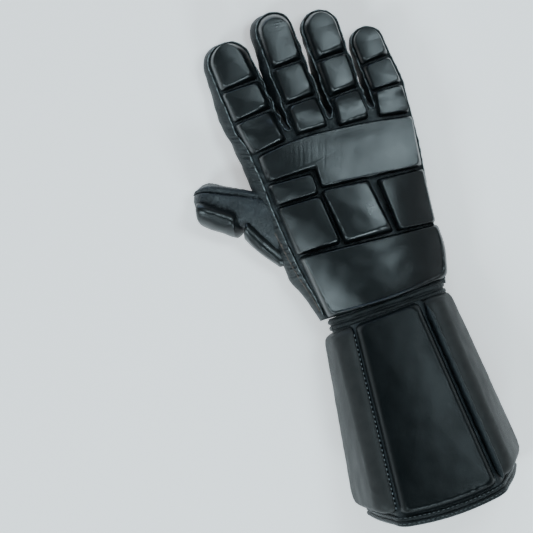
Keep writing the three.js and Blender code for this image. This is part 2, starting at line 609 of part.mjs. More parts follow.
// Blocks on the gauntlet: across their panel and from the wrist to the hem, both as shares
const GAUNTLET_PADS = [
  { name: 'gauntlet_pad_palm', panel: 0, thickness: PALM_PAD, acrossLines: [], color: 'centre',
    near: [[0.13, 0.03], [0.93, 0.03]], far: [[0.13, 0.915], [0.95, 0.915]] },
  { name: 'gauntlet_pad_radial', panel: 1, thickness: GAUNTLET_PAD, acrossLines: [0.5], color: 'side',
    near: [[0.1, 0.02], [0.93, 0.03]], far: [[0.09, 0.91], [0.94, 0.925]] },
  { name: 'gauntlet_pad_back', panel: 2, thickness: GAUNTLET_PAD, acrossLines: [0.33, 0.67], color: 'centre',
    near: [[0.045, 0.03], [0.93, 0.025]], far: [[0.045, 0.925], [0.94, 0.925]] },
  { name: 'gauntlet_pad_ulnar', panel: 3, thickness: GAUNTLET_PAD, acrossLines: [0.5], color: 'side',
    near: [[0.09, 0.02], [0.9, 0.02]], far: [[0.07, 0.92], [0.9, 0.91]] },
];

// The flap lies under the underlap, and its outline runs from the wrist to the hem.
const FLAP = {
  low: 6.4, high: 8.5, corner: 9,
  wristY: -13, hemY: -121.5,
  wristRoot: 12.5, hemRoot: 19.0,
  wristFree: 29.0, hemFree: 38.5,
};
const FLAP_BINDING = { width: 6.3, low: 5.6, high: 8.5 };
const HOOK_STRIP = { fromX: 25.5, toX: 36.0, hemY: -114, wristY: -30, slant: -5, low: 8.8, high: 9.7 };

function flapOutline(grow) {
  const { wristY, hemY, corner } = FLAP;
  const shape = new THREE.Shape();
  const radius = corner + grow;
  const [wristEnd, hemEnd] = [wristY + grow, hemY - grow];
  const [wristFree, hemFree] = [FLAP.wristFree + grow, FLAP.hemFree + grow];
  const slant = ((hemFree - wristFree) * radius) / (wristEnd - hemEnd);
  shape.moveTo(FLAP.wristRoot, wristEnd);
  shape.lineTo(wristFree - radius, wristEnd);
  shape.quadraticCurveTo(wristFree, wristEnd, wristFree + slant, wristEnd - radius);
  shape.lineTo(hemFree - slant, hemEnd + radius);
  shape.quadraticCurveTo(hemFree, hemEnd, hemFree - radius, hemEnd);
  shape.lineTo(FLAP.hemRoot, hemEnd);
  return shape.getPoints(4).filter((p, i, all) => i === 0 || p.distanceTo(all[i - 1]) > 0.01);
}

// The wrist's section as a closed curve, seen along the arm.
const WRIST = { x: 0.5, z: 23.2, halfX: 41.5, halfZ: 17.4, power: 2.3, points: 20 };
const WRIST_RIDGE = { edge: -0.6, middle: 1.4, inside: -3.2 }; // how far it stands out of that curve

function wristRing(y, grow) {
  return Array.from({ length: WRIST.points }, (_, i) => {
    const angle = (2 * Math.PI * i) / WRIST.points;
    const part = (value) => Math.sign(value) * Math.abs(value) ** (2 / WRIST.power);
    return new THREE.Vector3(
      WRIST.x + (WRIST.halfX + grow) * part(Math.cos(angle)),
      y,
      WRIST.z + (WRIST.halfZ + grow) * part(Math.sin(angle)),
    );
  });
}

// A piped ridge round the wrist: thick in the middle, thin at its edges.
function wristBinding(fromY, toY) {
  const middle = (fromY + toY) / 2;
  const { edge, inside } = WRIST_RIDGE;
  const outer = [wristRing(fromY, edge), wristRing(middle, WRIST_RIDGE.middle), wristRing(toY, edge)];
  return tubeWall(outer, [wristRing(fromY, inside), wristRing(toY, inside)]);
}

// The pieces

const COLORS = {
  leather: { color: 0x14181a, roughness: 0.55 },
  palm: { color: 0x171b1d, roughness: 0.5 },
  pad: { color: 0x1a2022, roughness: 0.42 },
  side: { color: 0x4a4c4c, roughness: 0.6 },
  centre: { color: 0x1d2325, roughness: 0.5 },
  binding: { color: 0x0f1214, roughness: 0.6 },
  cloth: { color: 0x101214, roughness: 0.95 },
  hook: { color: 0x0c0c0d, roughness: 1.0 },
};

const glove = new THREE.Group();

function addPiece(name, solid, colorName) {
  const material = new THREE.MeshStandardMaterial({ metalness: 0, ...COLORS[colorName] });
  const mesh = new THREE.Mesh(geometryFrom(solid), material);
  mesh.name = name;
  glove.add(mesh);
}

const innerEnd = HAND_START - WRIST_REACH;
const handOuter = handBody(0, HAND_START);
const handInner = handBody(-LEATHER, innerEnd);
const keepOut = handBody(GAP, HAND_START - GAP);
const thumbOuter = thumbBody(0, 0);
const thumbInner = thumbBody(-LEATHER, 8);
const above = (offset) => (x, y) => backHeight(x, y) + offset;
const below = (offset) => (x, y) => palmHeight(x, y) + offset;

// Back, lining and palm
addPiece('back_panel', handOuter.intersect(slabBetween(above(-LEATHER), above(0))), 'leather');

const liningTop = -LEATHER - GAP;
const liningArea = prism([
  { x: FAR.radial, y: LINING_AREA.fromY }, { x: FAR.ulnar, y: LINING_AREA.fromY },
  { x: FAR.ulnar, y: LINING_AREA.toY }, { x: FAR.radial, y: LINING_AREA.toY },
], DEPTH.low, DEPTH.high);
const lining = handBody(liningTop - 0.5, innerEnd)
  .intersect(slabBetween(above(liningTop - LINING), above(liningTop)))
  .intersect(liningArea);
addPiece('back_lining', lining, 'cloth');

const openingCurve = new THREE.SplineCurve([...PALM_OPENING, PALM_OPENING[0]].map(flatXY));
const opening = openingCurve.getPoints(OPENING_BINDING.steps).slice(0, -1);
const openingCore = (grow) => prism(
  offsetLine(opening.map(({ x, y }) => ({ x, y })), () => grow, true), DEPTH.low, DEPTH.high);
const palmSheet = handOuter.intersect(slabBetween(below(0), below(LEATHER)));
addPiece('palm_leather', palmSheet.subtract(openingCore(0)), 'palm');

const bindingRing = openingCore(-GAP).subtract(openingCore(-GAP - OPENING_BINDING.width));
const bindingSlab = slabBetween(below(0), below(OPENING_BINDING.height));
addPiece('palm_opening_binding', bindingRing.intersect(bindingSlab), 'binding');

// Side walls of the hand and fingers, cut apart at the fingertips and beside the Vs between fingers
const sideBand = handOuter.subtract(handInner)
  .intersect(slabBetween(below(LEATHER + GAP), above(-LEATHER - GAP)));
const tipSeam = (finger, side) => [FAR.fingers, finger.tipY].map(
  (y) => ({ x: fingerAxis(finger, finger.tipY) + (side * GAP) / 2, y }));
const sidePart = (outline) => sideBand.intersect(prism(outline, DEPTH.low, DEPTH.high));
const [firstCrotch, lastCrotch] = [CROTCHES[0].back.x, CROTCHES[CROTCHES.length - 1].back.x];
const handMiddle = 0;

const radialStrip = sidePart([
  { x: FAR.radial, y: FAR.wrist }, { x: FAR.radial, y: FAR.fingers }, ...tipSeam(FINGERS[0], -1),
  { x: firstCrotch - SIDE_CUT.outer, y: SIDE_CUT.y }, { x: handMiddle, y: SIDE_CUT.y },
  { x: handMiddle, y: FAR.wrist },
]);
addPiece('radial_side_strip', radialStrip.subtract(thumbInner), 'leather');

FINGERS.slice(0, -1).forEach((finger, i) => {
  const next = FINGERS[i + 1];
  const crotchX = CROTCHES[i].back.x;
  const strip = sidePart([
    { x: crotchX - SIDE_CUT.inner, y: SIDE_CUT.y }, ...tipSeam(finger, 1).reverse(),
    ...tipSeam(next, -1), { x: crotchX + SIDE_CUT.inner, y: SIDE_CUT.y },
  ]);
  addPiece(`fourchette_${finger.name}_${next.name}`, strip, 'leather');
});

const ulnarStrip = sidePart([
  { x: handMiddle, y: FAR.wrist }, { x: handMiddle, y: SIDE_CUT.y },
  { x: lastCrotch + SIDE_CUT.outer, y: SIDE_CUT.y }, ...tipSeam(FINGERS[3], 1).reverse(),
  { x: FAR.ulnar, y: FAR.fingers }, { x: FAR.ulnar, y: FAR.wrist },
]);
addPiece('ulnar_side_strip', ulnarStrip, 'leather');

// Thumb
addPiece('thumb_shell', thumbOuter.subtract(thumbInner).subtract(keepOut), 'palm');
const thumbGround = thumbBody(GAP, 0).add(keepOut);
THUMB_PADS.forEach(({ name, near, far }) => {
  const body = padBody({ plan: quadPlan({ near, far }), place: overThumb, thickness: THUMB_PAD,
    acrossLines: [0.25, 0.5, 0.75], alongLines: [0.35, 0.65] });
  addPiece(name, body.subtract(thumbGround), 'pad');
});

// Blocks on the fingers and the hand
const backGround = slabBetween(() => DEPTH.low, above(GAP));
const padPlaces = ['tip', 'middle', 'root'];
Object.entries(FINGER_PADS).forEach(([finger, pads]) => {
  pads.forEach((pad, i) => {
    const plan = quadPlan({ ...pad, spread: FINGER_PAD_SPREAD });
    const body = padBody({ plan, place: overBack, thickness: FINGER_PAD, alongLines: pad.tip ? [0.55] : [] });
    addPiece(`${finger}_${padPlaces[i]}_pad`, body.subtract(backGround), 'pad');
  });
});
HAND_PADS.forEach((pad) => {
  const body = padBody({ plan: quadPlan(pad), place: overBack, thickness: HAND_PAD, alongLines: [0.5] });
  addPiece(pad.name, body.subtract(backGround), 'pad');
});
const knuckleWidth = KNUCKLE_COLUMNS[KNUCKLE_COLUMNS.length - 1].x - KNUCKLE_COLUMNS[0].x;
const knuckleLines = KNUCKLE_COLUMNS.slice(1, -1).map(({ x }) => (x - KNUCKLE_COLUMNS[0].x) / knuckleWidth);
const knuckle = padBody({ plan: knucklePlan, place: overBack, thickness: HAND_PAD, acrossLines: knuckleLines });
addPiece('knuckle_pad', knuckle.subtract(backGround), 'pad');
const wristPad = padBody({ plan: quadPlan(WRIST_PAD), place: overBack, thickness: HAND_PAD,
  acrossLines: [0.2, 0.4, 0.6, 0.8], alongLines: [0.5] });
addPiece('wrist_pad', wristPad.subtract(backGround), 'pad');

// Wrist
addPiece('wrist_binding_hand', wristBinding(HAND_START - GAP, WRIST_MIDDLE), 'binding');
addPiece('wrist_binding_gauntlet', wristBinding(WRIST_MIDDLE - GAP, GAUNTLET_START + GAP), 'binding');

// Gauntlet
const shellEnd = hemShare(HEM_WIDTH + GAP);
addPiece('gauntlet_shell', gauntletWall([0, shellEnd / 2, shellEnd], 0, -LEATHER), 'leather');
addPiece('hem_binding', gauntletWall([hemShare(HEM_WIDTH), 1], HEM_PROUD, -LEATHER - HEM_PROUD), 'binding');
const gauntletGround = loft([-0.1, 0.5, 1.1].map((v) => gauntletLine(v, GAP).map(vector)), flatXZ);
GAUNTLET_PADS.forEach(({ name, panel, near, far, thickness, acrossLines, color }) => {
  const place = (u, v, h) => gauntletPoint(panel, u, v, h);
  const body = padBody({ plan: quadPlan({ near, far }), place, thickness, acrossLines, alongLines: [0.5] });
  addPiece(name, body.subtract(gauntletGround), color);
});

// Flap
addPiece('closure_flap', prism(flapOutline(0), FLAP.low, FLAP.high), 'leather');
const flapRim = prism(flapOutline(FLAP_BINDING.width + GAP), FLAP_BINDING.low, FLAP_BINDING.high)
  .subtract(prism(flapOutline(GAP), DEPTH.low, DEPTH.high));
addPiece('flap_binding', flapRim, 'binding');
const { fromX, toX, hemY, wristY, slant } = HOOK_STRIP;
const hookOutline = [
  { x: fromX, y: hemY }, { x: toX, y: hemY }, { x: toX + slant, y: wristY }, { x: fromX + slant, y: wristY },
];
addPiece('hook_and_loop_strip', prism(hookOutline, HOOK_STRIP.low, HOOK_STRIP.high), 'hook');

glove.position.set(-BOX_MIDDLE.x, -BOX_MIDDLE.y, 0);

export default glove;
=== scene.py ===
"""Escrima glove for the right hand, lying palm down: its leather, foam blocks, seams and stitches.

Every shape is drawn in millimetres, with y = 0 at the wrist seam, z = 0 on the floor, +Y to the
fingertips and +X to the little finger. in_frame() moves it into the frame's metres.
"""

from __future__ import annotations

import logging
import math
from dataclasses import dataclass, field
from enum import Enum
from typing import Callable, Optional

import bpy
import numpy as np
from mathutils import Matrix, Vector

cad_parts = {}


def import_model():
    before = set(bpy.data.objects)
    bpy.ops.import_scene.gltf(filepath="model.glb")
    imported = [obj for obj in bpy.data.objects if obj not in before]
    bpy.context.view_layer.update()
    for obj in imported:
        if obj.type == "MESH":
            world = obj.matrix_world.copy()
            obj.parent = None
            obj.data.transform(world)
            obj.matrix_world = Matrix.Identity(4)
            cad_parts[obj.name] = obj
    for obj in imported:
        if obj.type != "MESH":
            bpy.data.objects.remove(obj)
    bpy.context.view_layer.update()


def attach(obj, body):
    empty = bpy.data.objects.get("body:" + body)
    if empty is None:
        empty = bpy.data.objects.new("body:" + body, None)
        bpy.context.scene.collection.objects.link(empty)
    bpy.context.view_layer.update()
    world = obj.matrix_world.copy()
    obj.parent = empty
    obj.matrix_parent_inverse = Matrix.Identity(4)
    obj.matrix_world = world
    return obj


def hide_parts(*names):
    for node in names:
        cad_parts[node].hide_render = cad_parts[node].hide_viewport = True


LOG = logging.getLogger("glove")
Array = np.ndarray
Node = bpy.types.Node
Material = bpy.types.Material
Pair = tuple[float, float]
Triple = tuple[float, float, float]
Place = Callable[[Array, Array, Array], Array]

MM = 0.001  # metres
BOX_MIDDLE = np.array([-22.6, 33.4, 0.0])  # the frame's origin in the drawing
LEATHER = 2.0  # the leather's wall
GAP = 0.3  # between pieces that are sewn together
UPWARD = np.array([0.0, 0.0, 1.0])
BODY = "root"


# Numbers and noise


def mix(a: Array, b: Array, share: Array) -> Array:
    """Goes from a to b as share goes from 0 to 1."""
    return a + (b - a) * share


def smoothstep(x: Array, low: float, high: float) -> Array:
    """Rises from 0 at low to 1 at high, level at both ends."""
    t = np.clip((x - low) / (high - low), 0.0, 1.0)
    return t * t * (3.0 - 2.0 * t)


def bell(x: Array, width: float) -> Array:
    """A bump of height 1 at x = 0: e to the power of minus (x / width) squared."""
    return np.exp(-((x / width) ** 2))


def unit(vectors: Array, least: float = 0.0) -> Array:
    """Vectors of length 1 in the same directions. least is added to a length that may be zero."""
    return vectors / (np.linalg.norm(vectors, axis=-1, keepdims=True) + least)


def waves(points: Array, size: tuple[float, ...], seed: int, count: int = 14) -> Array:
    """Smooth noise of about unit height: a sum of plane waves in random directions.

    Args:
        points: Places, their last axis the coordinates.
        size: Wavelength along each coordinate.
        seed: Which noise.
        count: Number of waves.

    Returns:
        One value for each place.
    """
    rng = np.random.default_rng(seed)
    directions = unit(rng.normal(size=(count, points.shape[-1])))
    pitch = 2.0 * math.pi * rng.uniform(0.6, 1.5, (count, 1)) * directions / np.array(size)
    phase = rng.uniform(0.0, 2.0 * math.pi, count)
    return np.sin(points @ pitch.T + phase).sum(axis=-1) / math.sqrt(count / 2.0)


def creases(points: Array, size: tuple[float, ...], seed: int, sharp: float = 0.35) -> Array:
    """A net of fine folds: 1 on the lines where the noise crosses zero, 0 away from them."""
    return bell(waves(points, size, seed), sharp)


def arc_length(path: Array) -> Array:
    """Distance along a line of points from its first point."""
    steps = np.linalg.norm(np.diff(path, axis=0), axis=1)
    return np.concatenate([[0.0], np.cumsum(steps)])


def resample(path: Array, count: int) -> Array:
    """The same line with count points at equal distances.

    Args:
        path: The line's points.
        count: The number of new ones.

    Returns:
        The new points.
    """
    along = arc_length(path)
    wanted = np.linspace(0.0, along[-1], count)
    return np.stack([np.interp(wanted, along, column) for column in path.T], axis=1)


def averaged(path: Array, reach: int, mode: str = "edge") -> Array:
    """A line of points, each the mean of itself and reach neighbours on each side.

    Args:
        path: The points.
        reach: Number of neighbours on each side.
        mode: How the line goes on past its ends: "edge" or "wrap".

    Returns:
        As many points.
    """
    padded = np.pad(path, ((reach, reach), (0, 0)), mode=mode)
    kernel = np.ones(2 * reach + 1) / (2 * reach + 1)
    return np.stack([np.convolve(column, kernel, "valid") for column in padded.T], axis=1)


def left_normals(path: Array, closed: bool = False, smooth: int = 2) -> Array:
    """Unit vectors to the left of a flat line's direction.

    Args:
        path: The line's flat points.
        closed: Whether its end meets its start.
        smooth: Over how many neighbours on each side they are averaged.

    Returns:
        A flat vector for each point.
    """
    if closed:
        tangent = np.roll(path, -1, axis=0) - np.roll(path, 1, axis=0)
    else:
        tangent = np.gradient(path, axis=0)
    normal = unit(np.stack([-tangent[:, 1], tangent[:, 0]], axis=1), 1e-9)
    return unit(averaged(normal, smooth, "wrap" if closed else "edge"), 1e-9)


def in_space(flat: Array) -> Array:
    """Flat vectors as level vectors in space."""
    return np.column_stack([flat, np.zeros(len(flat))])


def rounded_ring(corners: Array, radii: Array, side: int, bend: int = 12, most: float = 0.49) -> Array:
    """A closed outline with rounded corners, its points matched to the corners.

    A corner is a parabola from a point on one side to a point on the other, radius away from it:
    (1-t)^2 a + 2 t (1-t) corner + t^2 b. Between them a side is straight.

    Args:
        corners: Corner points, counter-clockwise.
        radii: How far from each corner its rounding starts.
        side: Points on each side.
        bend: Points in each corner.
        most: The largest share of a side that a corner takes.

    Returns:
        The points, of shape (corners (bend + side), 2).
    """
    before = np.roll(corners, 1, axis=0) - corners
    after = np.roll(corners, -1, axis=0) - corners
    sizes = (np.linalg.norm(line, axis=1, keepdims=True) for line in (before, after))
    share_before, share_after = (np.minimum(radii[:, None] / size, most) for size in sizes)
    start, end = corners + before * share_before, corners + after * share_after
    t = np.linspace(0.0, 1.0, bend)[None, :, None]
    curves = (1 - t) ** 2 * start[:, None] + 2 * t * (1 - t) * corners[:, None] + t**2 * end[:, None]
    s = np.linspace(0.0, 1.0, side + 2)[None, 1:-1, None]
    sides = mix(end[:, None], np.roll(start, -1, axis=0)[:, None], s)
    return np.concatenate([curves, sides], axis=1).reshape(-1, 2)


def rounded_polygon(corners: Array, radii: Array, count: int) -> Array:
    """A closed outline with rounded corners, of count points at equal distances."""
    ring = rounded_ring(corners, radii, 0, 13, 0.5)
    return resample(np.concatenate([ring, ring[:1]]), count + 1)[:-1]


def depth_inside(points: Array, outline: Array) -> Array:
    """How far flat points lie inside a closed outline, below 0 outside it.

    A point is inside if a ray to its right crosses the outline an odd number of times.

    Args:
        points: The points.
        outline: The outline's corners.

    Returns:
        The distances to the nearest side of the outline.
    """
    following = np.roll(outline, -1, axis=0)
    side = following - outline
    to_point = points[:, None] - outline
    share = np.clip((to_point * side).sum(-1) / ((side**2).sum(-1) + 1e-12), 0.0, 1.0)
    distance = np.linalg.norm(to_point - share[..., None] * side, axis=-1).min(axis=1)
    ax, ay = outline.T[:, None]
    bx, by = following.T[:, None]
    x, y = points[:, :1], points[:, 1:2]
    at = ax + (bx - ax) * (y - ay) / np.where(by == ay, 1e-9, by - ay)
    crossings = (((ay > y) != (by > y)) & (x < at)).sum(axis=1)
    return np.where(crossings % 2 == 1, distance, -distance)


# Surfaces and meshes


@dataclass
class Surface:
    """Corners, and faces of four corners each, in drawing millimetres."""

    points: Array
    faces: Array

    def welded(self, tolerance: float = 1e-3) -> "Surface":
        """The same surface with corners that lie together made one.

        Args:
            tolerance: How near to each other they lie.

        Returns:
            The surface.
        """
        keys = np.round(self.points / tolerance).astype(np.int64)
        _, first, inverse = np.unique(keys, axis=0, return_index=True, return_inverse=True)
        return Surface(self.points[first], inverse.reshape(-1)[self.faces])

    def joined(self, *others: "Surface") -> "Surface":
        """This surface and others as one.

        Args:
            others: The others.

        Returns:
            The surface.
        """
        parts = [self, *others]
        counts = np.cumsum([0] + [len(part.points) for part in parts[:-1]])
        faces = [part.faces + first for part, first in zip(parts, counts)]
        return Surface(np.concatenate([part.points for part in parts]), np.concatenate(faces))

    def without(self, hidden: Array) -> "Surface":
        """The surface without the faces whose corners are all hidden."""
        return Surface(self.points, self.faces[~hidden[self.faces].all(axis=1)])

    def thickened(self, offset: Array) -> "Surface":
        """A closed wall between this surface and its moved copy, with sides along the open edges.

        Args:
            offset: How far the copy is moved: one vector, or one for each corner.

        Returns:
            The wall.
        """
        count = len(self.points)
        a, b = self.faces.reshape(-1), np.roll(self.faces, -1, axis=1).reshape(-1)
        is_open = (a != b) & ~np.isin(a * count + b, b * count + a)
        a, b = a[is_open], b[is_open]
        sides = np.stack([b, a, a + count, b + count], axis=1)
        points = np.concatenate([self.points, self.points + offset])
        return Surface(points, np.concatenate([self.faces, self.faces[:, ::-1] + count, sides]))

    def outward(self) -> "Surface":
        """The surface with its faces turned so that it encloses a positive volume.

        Returns:
            The surface.
        """
        corner = self.points[self.faces]
        first = np.einsum("ij,ij->i", corner[:, 0], np.cross(corner[:, 1], corner[:, 2]))
        second = np.einsum("ij,ij->i", corner[:, 0], np.cross(corner[:, 2], corner[:, 3]))
        turned = first.sum() + second.sum() < 0
        return Surface(self.points, self.faces[:, ::-1] if turned else self.faces)


def grid_surface(points: Array, wrap_rows: bool = False, wrap_columns: bool = False) -> Surface:
    """A surface through a grid of points.

    Args:
        points: The grid, of shape (rows, columns, 3).
        wrap_rows: Whether the last row is joined to the first.
        wrap_columns: Whether the last column is joined to the first.

    Returns:
        The surface.
    """
    rows, columns = points.shape[:2]
    index = np.arange(rows * columns).reshape(rows, columns)
    if wrap_rows:
        index = np.concatenate([index, index[:1]])
    if wrap_columns:
        index = np.concatenate([index, index[:, :1]], axis=1)
    corners = (index[:-1, :-1], index[:-1, 1:], index[1:, 1:], index[1:, :-1])
    faces = np.stack(corners, axis=-1).reshape(-1, 4)
    return Surface(points.reshape(-1, 3), faces)


def swept(path: Array, side: Array, profile: Array, closed: bool, up: Array = UPWARD) -> Surface:
    """A closed outline carried along a path.

    Args:
        path: Points of the path.
        side: Unit vectors for the outline's first coordinate.
        profile: The outline, of shape (points, 2), or (path points, points, 2) where it changes.
        closed: Whether the path closes. If not, its ends are drawn to their middle.
        up: Unit vectors for the outline's second coordinate, or one for all.

    Returns:
        The closed surface.
    """
    if profile.ndim == 2:
        profile = np.broadcast_to(profile, (len(path),) + profile.shape)
    up = np.broadcast_to(up, path.shape)
    rings = path[:, None] + side[:, None] * profile[..., :1] + up[:, None] * profile[..., 1:]
    if not closed:
        rings = with_ends(rings)
    return grid_surface(rings, wrap_rows=closed, wrap_columns=True).welded(1e-4).outward()


def with_ends(rings: Array) -> Array:
    """Closed rings with one more at each end, drawn together to a point."""
    ends = rings.mean(axis=1, keepdims=True) + 0.0 * rings
    return np.concatenate([ends[:1], rings, ends[-1:]])


def taller(profile: Array, share: Array) -> Array:
    """An outline for each point of a path, its second coordinate times share."""
    return profile[None] * np.stack([np.ones_like(share), share], axis=-1)[:, None]


def oval(half_wide: float, half_high: float, count: int = 10, power: float = 2.0) -> Array:
    """A rounded outline: |x / half_wide|^power + |y / half_high|^power = 1.

    Args:
        half_wide: Half its width.
        half_high: Half its height.
        count: Number of points.
        power: 2 for an ellipse, more for a squarer form.

    Returns:
        The outline.
    """
    angle = np.linspace(0.0, 2.0 * math.pi, count, endpoint=False)
    part = [np.sign(f(angle)) * np.abs(f(angle)) ** (2.0 / power) for f in (np.cos, np.sin)]
    return np.stack([half_wide * part[0], half_high * part[1]], axis=1)


def in_frame(points: Array) -> Array:
    """Drawing millimetres to the frame's metres."""
    return (points - BOX_MIDDLE) * MM


@dataclass
class Piece:
    """A named mesh with its finish, its slot and the CAD nodes that it stands for. slot is not used.

    fill is not used. Edges that bend by more than sharp degrees stay sharp. marks are
    values for the points, read by the finish.
    """

    name: str
    surface: Surface
    finish: Finish
    slot: str
    nodes: tuple[str, ...] = ()
    fill: Optional[float] = None
    sharp: float = 50.0
    marks: dict[str, Array] = field(default_factory=dict)

    def make(self) -> None:
        """Builds the mesh, fastens it to the frame and reports it."""
        surface = self.surface.outward()
        kept = surface.faces != np.roll(surface.faces, 1, axis=1)
        totals = kept.sum(axis=1)
        faces, kept, totals = surface.faces[totals > 2], kept[totals > 2], totals[totals > 2]
        loops = faces[kept]
        mesh = bpy.data.meshes.new(self.name)
        mesh.vertices.add(len(surface.points))
        mesh.vertices.foreach_set("co", in_frame(surface.points).astype(np.float32).ravel())
        mesh.loops.add(len(loops))
        mesh.loops.foreach_set("vertex_index", loops.astype(np.int32))
        mesh.polygons.add(len(totals))
        mesh.polygons.foreach_set("loop_start", (np.cumsum(totals) - totals).astype(np.int32))
        for mark, values in self.marks.items():
            attribute = mesh.attributes.new(mark, "FLOAT", "POINT")
            attribute.data.foreach_set("value", values.astype(np.float32))
        mesh.update(calc_edges=True)
        mesh.validate()
        mesh.shade_smooth()
        mesh.set_sharp_from_angle(angle=math.radians(self.sharp))
        mesh.materials.append(self.finish.material())
        made = bpy.data.objects.new(self.name, mesh)
        bpy.context.scene.collection.objects.link(made)
        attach(made, BODY)
        if self.nodes:
            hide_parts(*self.nodes)
        nodes = ", ".join(self.nodes) or "nothing"
        LOG.info("%s: %d faces, stands for %s", self.name, len(totals), nodes)


# Finishes


class NodeSheet:
    """A node tree, with short calls that add and link its nodes."""

    def __init__(self, tree: bpy.types.NodeTree) -> None:
        """Takes the tree."""
        self.tree = tree

    def add(self, kind: str, inputs: Optional[dict] = None, **settings: object) -> Node:
        """Adds a node.

        Args:
            kind: The node's type.
            inputs: Values of its sockets.
            settings: Its properties.

        Returns:
            The node.
        """
        node = self.tree.nodes.new(kind)
        for key, value in settings.items():
            setattr(node, key, value)
        for key, value in (inputs or {}).items():
            node.inputs[key].default_value = value
        return node

    def link(self, source: Node, output: object, target: Node, socket: object) -> None:
        """Links one node's output to another's socket."""
        self.tree.links.new(source.outputs[output], target.inputs[socket])

    def ranged(self, source: Node, output: str, low: float, high: float,
               to_low: float, to_high: float) -> Node:
        """Maps a value.

        Args:
            source: The node that gives it.
            output: That node's output.
            low: The value that becomes to_low.
            high: The value that becomes to_high.
            to_low: What low becomes.
            to_high: What high becomes.

        Returns:
            The node, its output Result.
        """
        node = self.add("ShaderNodeMapRange", {"From Min": low, "From Max": high,
                                               "To Min": to_low, "To Max": to_high})
        self.link(source, output, node, "Value")
        return node


class MaterialSheet(NodeSheet):
    """A new material's node tree, with its shader and its output."""

    def __init__(self, name: str) -> None:
        """Makes the material.

        Args:
            name: Its name.
        """
        self.material = bpy.data.materials.new(name)
        self.material.use_nodes = True
        super().__init__(self.material.node_tree)
        self.tree.nodes.clear()
        output = self.add("ShaderNodeOutputMaterial")
        self.shader = self.add("ShaderNodeBsdfPrincipled")
        self.link(self.shader, "BSDF", output, "Surface")

    def coordinates(self, stretch: Triple = (1.0, 1.0, 1.0)) -> Node:
        """Adds Object coordinates.

        Args:
            stretch: What they are multiplied by along the axes.

        Returns:
            The node, its output Vector.
        """
        source = self.add("ShaderNodeTexCoord")
        mapping = self.add("ShaderNodeMapping", {"Scale": stretch})
        self.link(source, "Object", mapping, "Vector")
        return mapping

    def noise(self, place: Node, size_mm: float, detail: float = 3.0,
              distortion: float = 0.0) -> Node:
        """Adds noise.

        Args:
            place: The coordinates.
            size_mm: About how wide its blotches are.
            detail: How many finer layers it has.
            distortion: How far it is bent.

        Returns:
            The node, its output Fac.
        """
        node = self.add("ShaderNodeTexNoise", {"Scale": 1.0 / (size_mm * MM), "Detail": detail,
                                               "Roughness": 0.55, "Distortion": distortion})
        self.link(place, "Vector", node, "Vector")
        return node

    def calculated(self, operation: str, *values: object) -> Node:
        """Adds a Math node.

        Args:
            operation: What it does.
            values: A number, or a node and its output, for each of its sockets.

        Returns:
            The node, its output Value.
        """
        node = self.add("ShaderNodeMath", operation=operation)
        for socket, value in enumerate(values):
            if isinstance(value, tuple):
                self.link(*value, node, socket)
            else:
                node.inputs[socket].default_value = value
        return node

    def bump(self, source: Node, output: str, depth_mm: float,
             below: Optional[Node] = None) -> Node:
        """Adds relief.

        Args:
            source: The node that gives its height.
            output: That node's output.
            depth_mm: How deep it is.
            below: The relief that it lies on, if any.

        Returns:
            The node, its output Normal.
        """
        node = self.add("ShaderNodeBump", {"Strength": 1.0, "Distance": depth_mm * MM})
        self.link(source, output, node, "Height")
        if below is not None:
            self.link(below, "Normal", node, "Normal")
        return node

    def tint(self, factor: Node, output: str, first: tuple, second: tuple) -> None:
        """Gives the shader a colour between two.

        Args:
            factor: The node that says where between them.
            output: That node's output.
            first: The colour at 0.
            second: The colour at 1.
        """
        node = self.add("ShaderNodeMix", {6: (*first, 1.0), 7: (*second, 1.0)}, data_type="RGBA")
        self.link(factor, output, node, 0)
        self.link(node, 2, self.shader, "Base Color")

    def finished(self, relief: Optional[Node] = None, gloss: Optional[Node] = None,
                 **values: object) -> Material:
        """Gives the shader its relief, its roughness and its other values.

        Args:
            relief: The last bump, if any.
            gloss: The mapped value that is its roughness, if any.
            values: Its other sockets, with _ for a space.

        Returns:
            The material.
        """
        if relief is not None:
            self.link(relief, "Normal", self.shader, "Normal")
        if gloss is not None:
            self.link(gloss, "Result", self.shader, "Roughness")
        for name, value in values.items():
            self.shader.inputs[name.replace("_", " ")].default_value = value
        return self.material


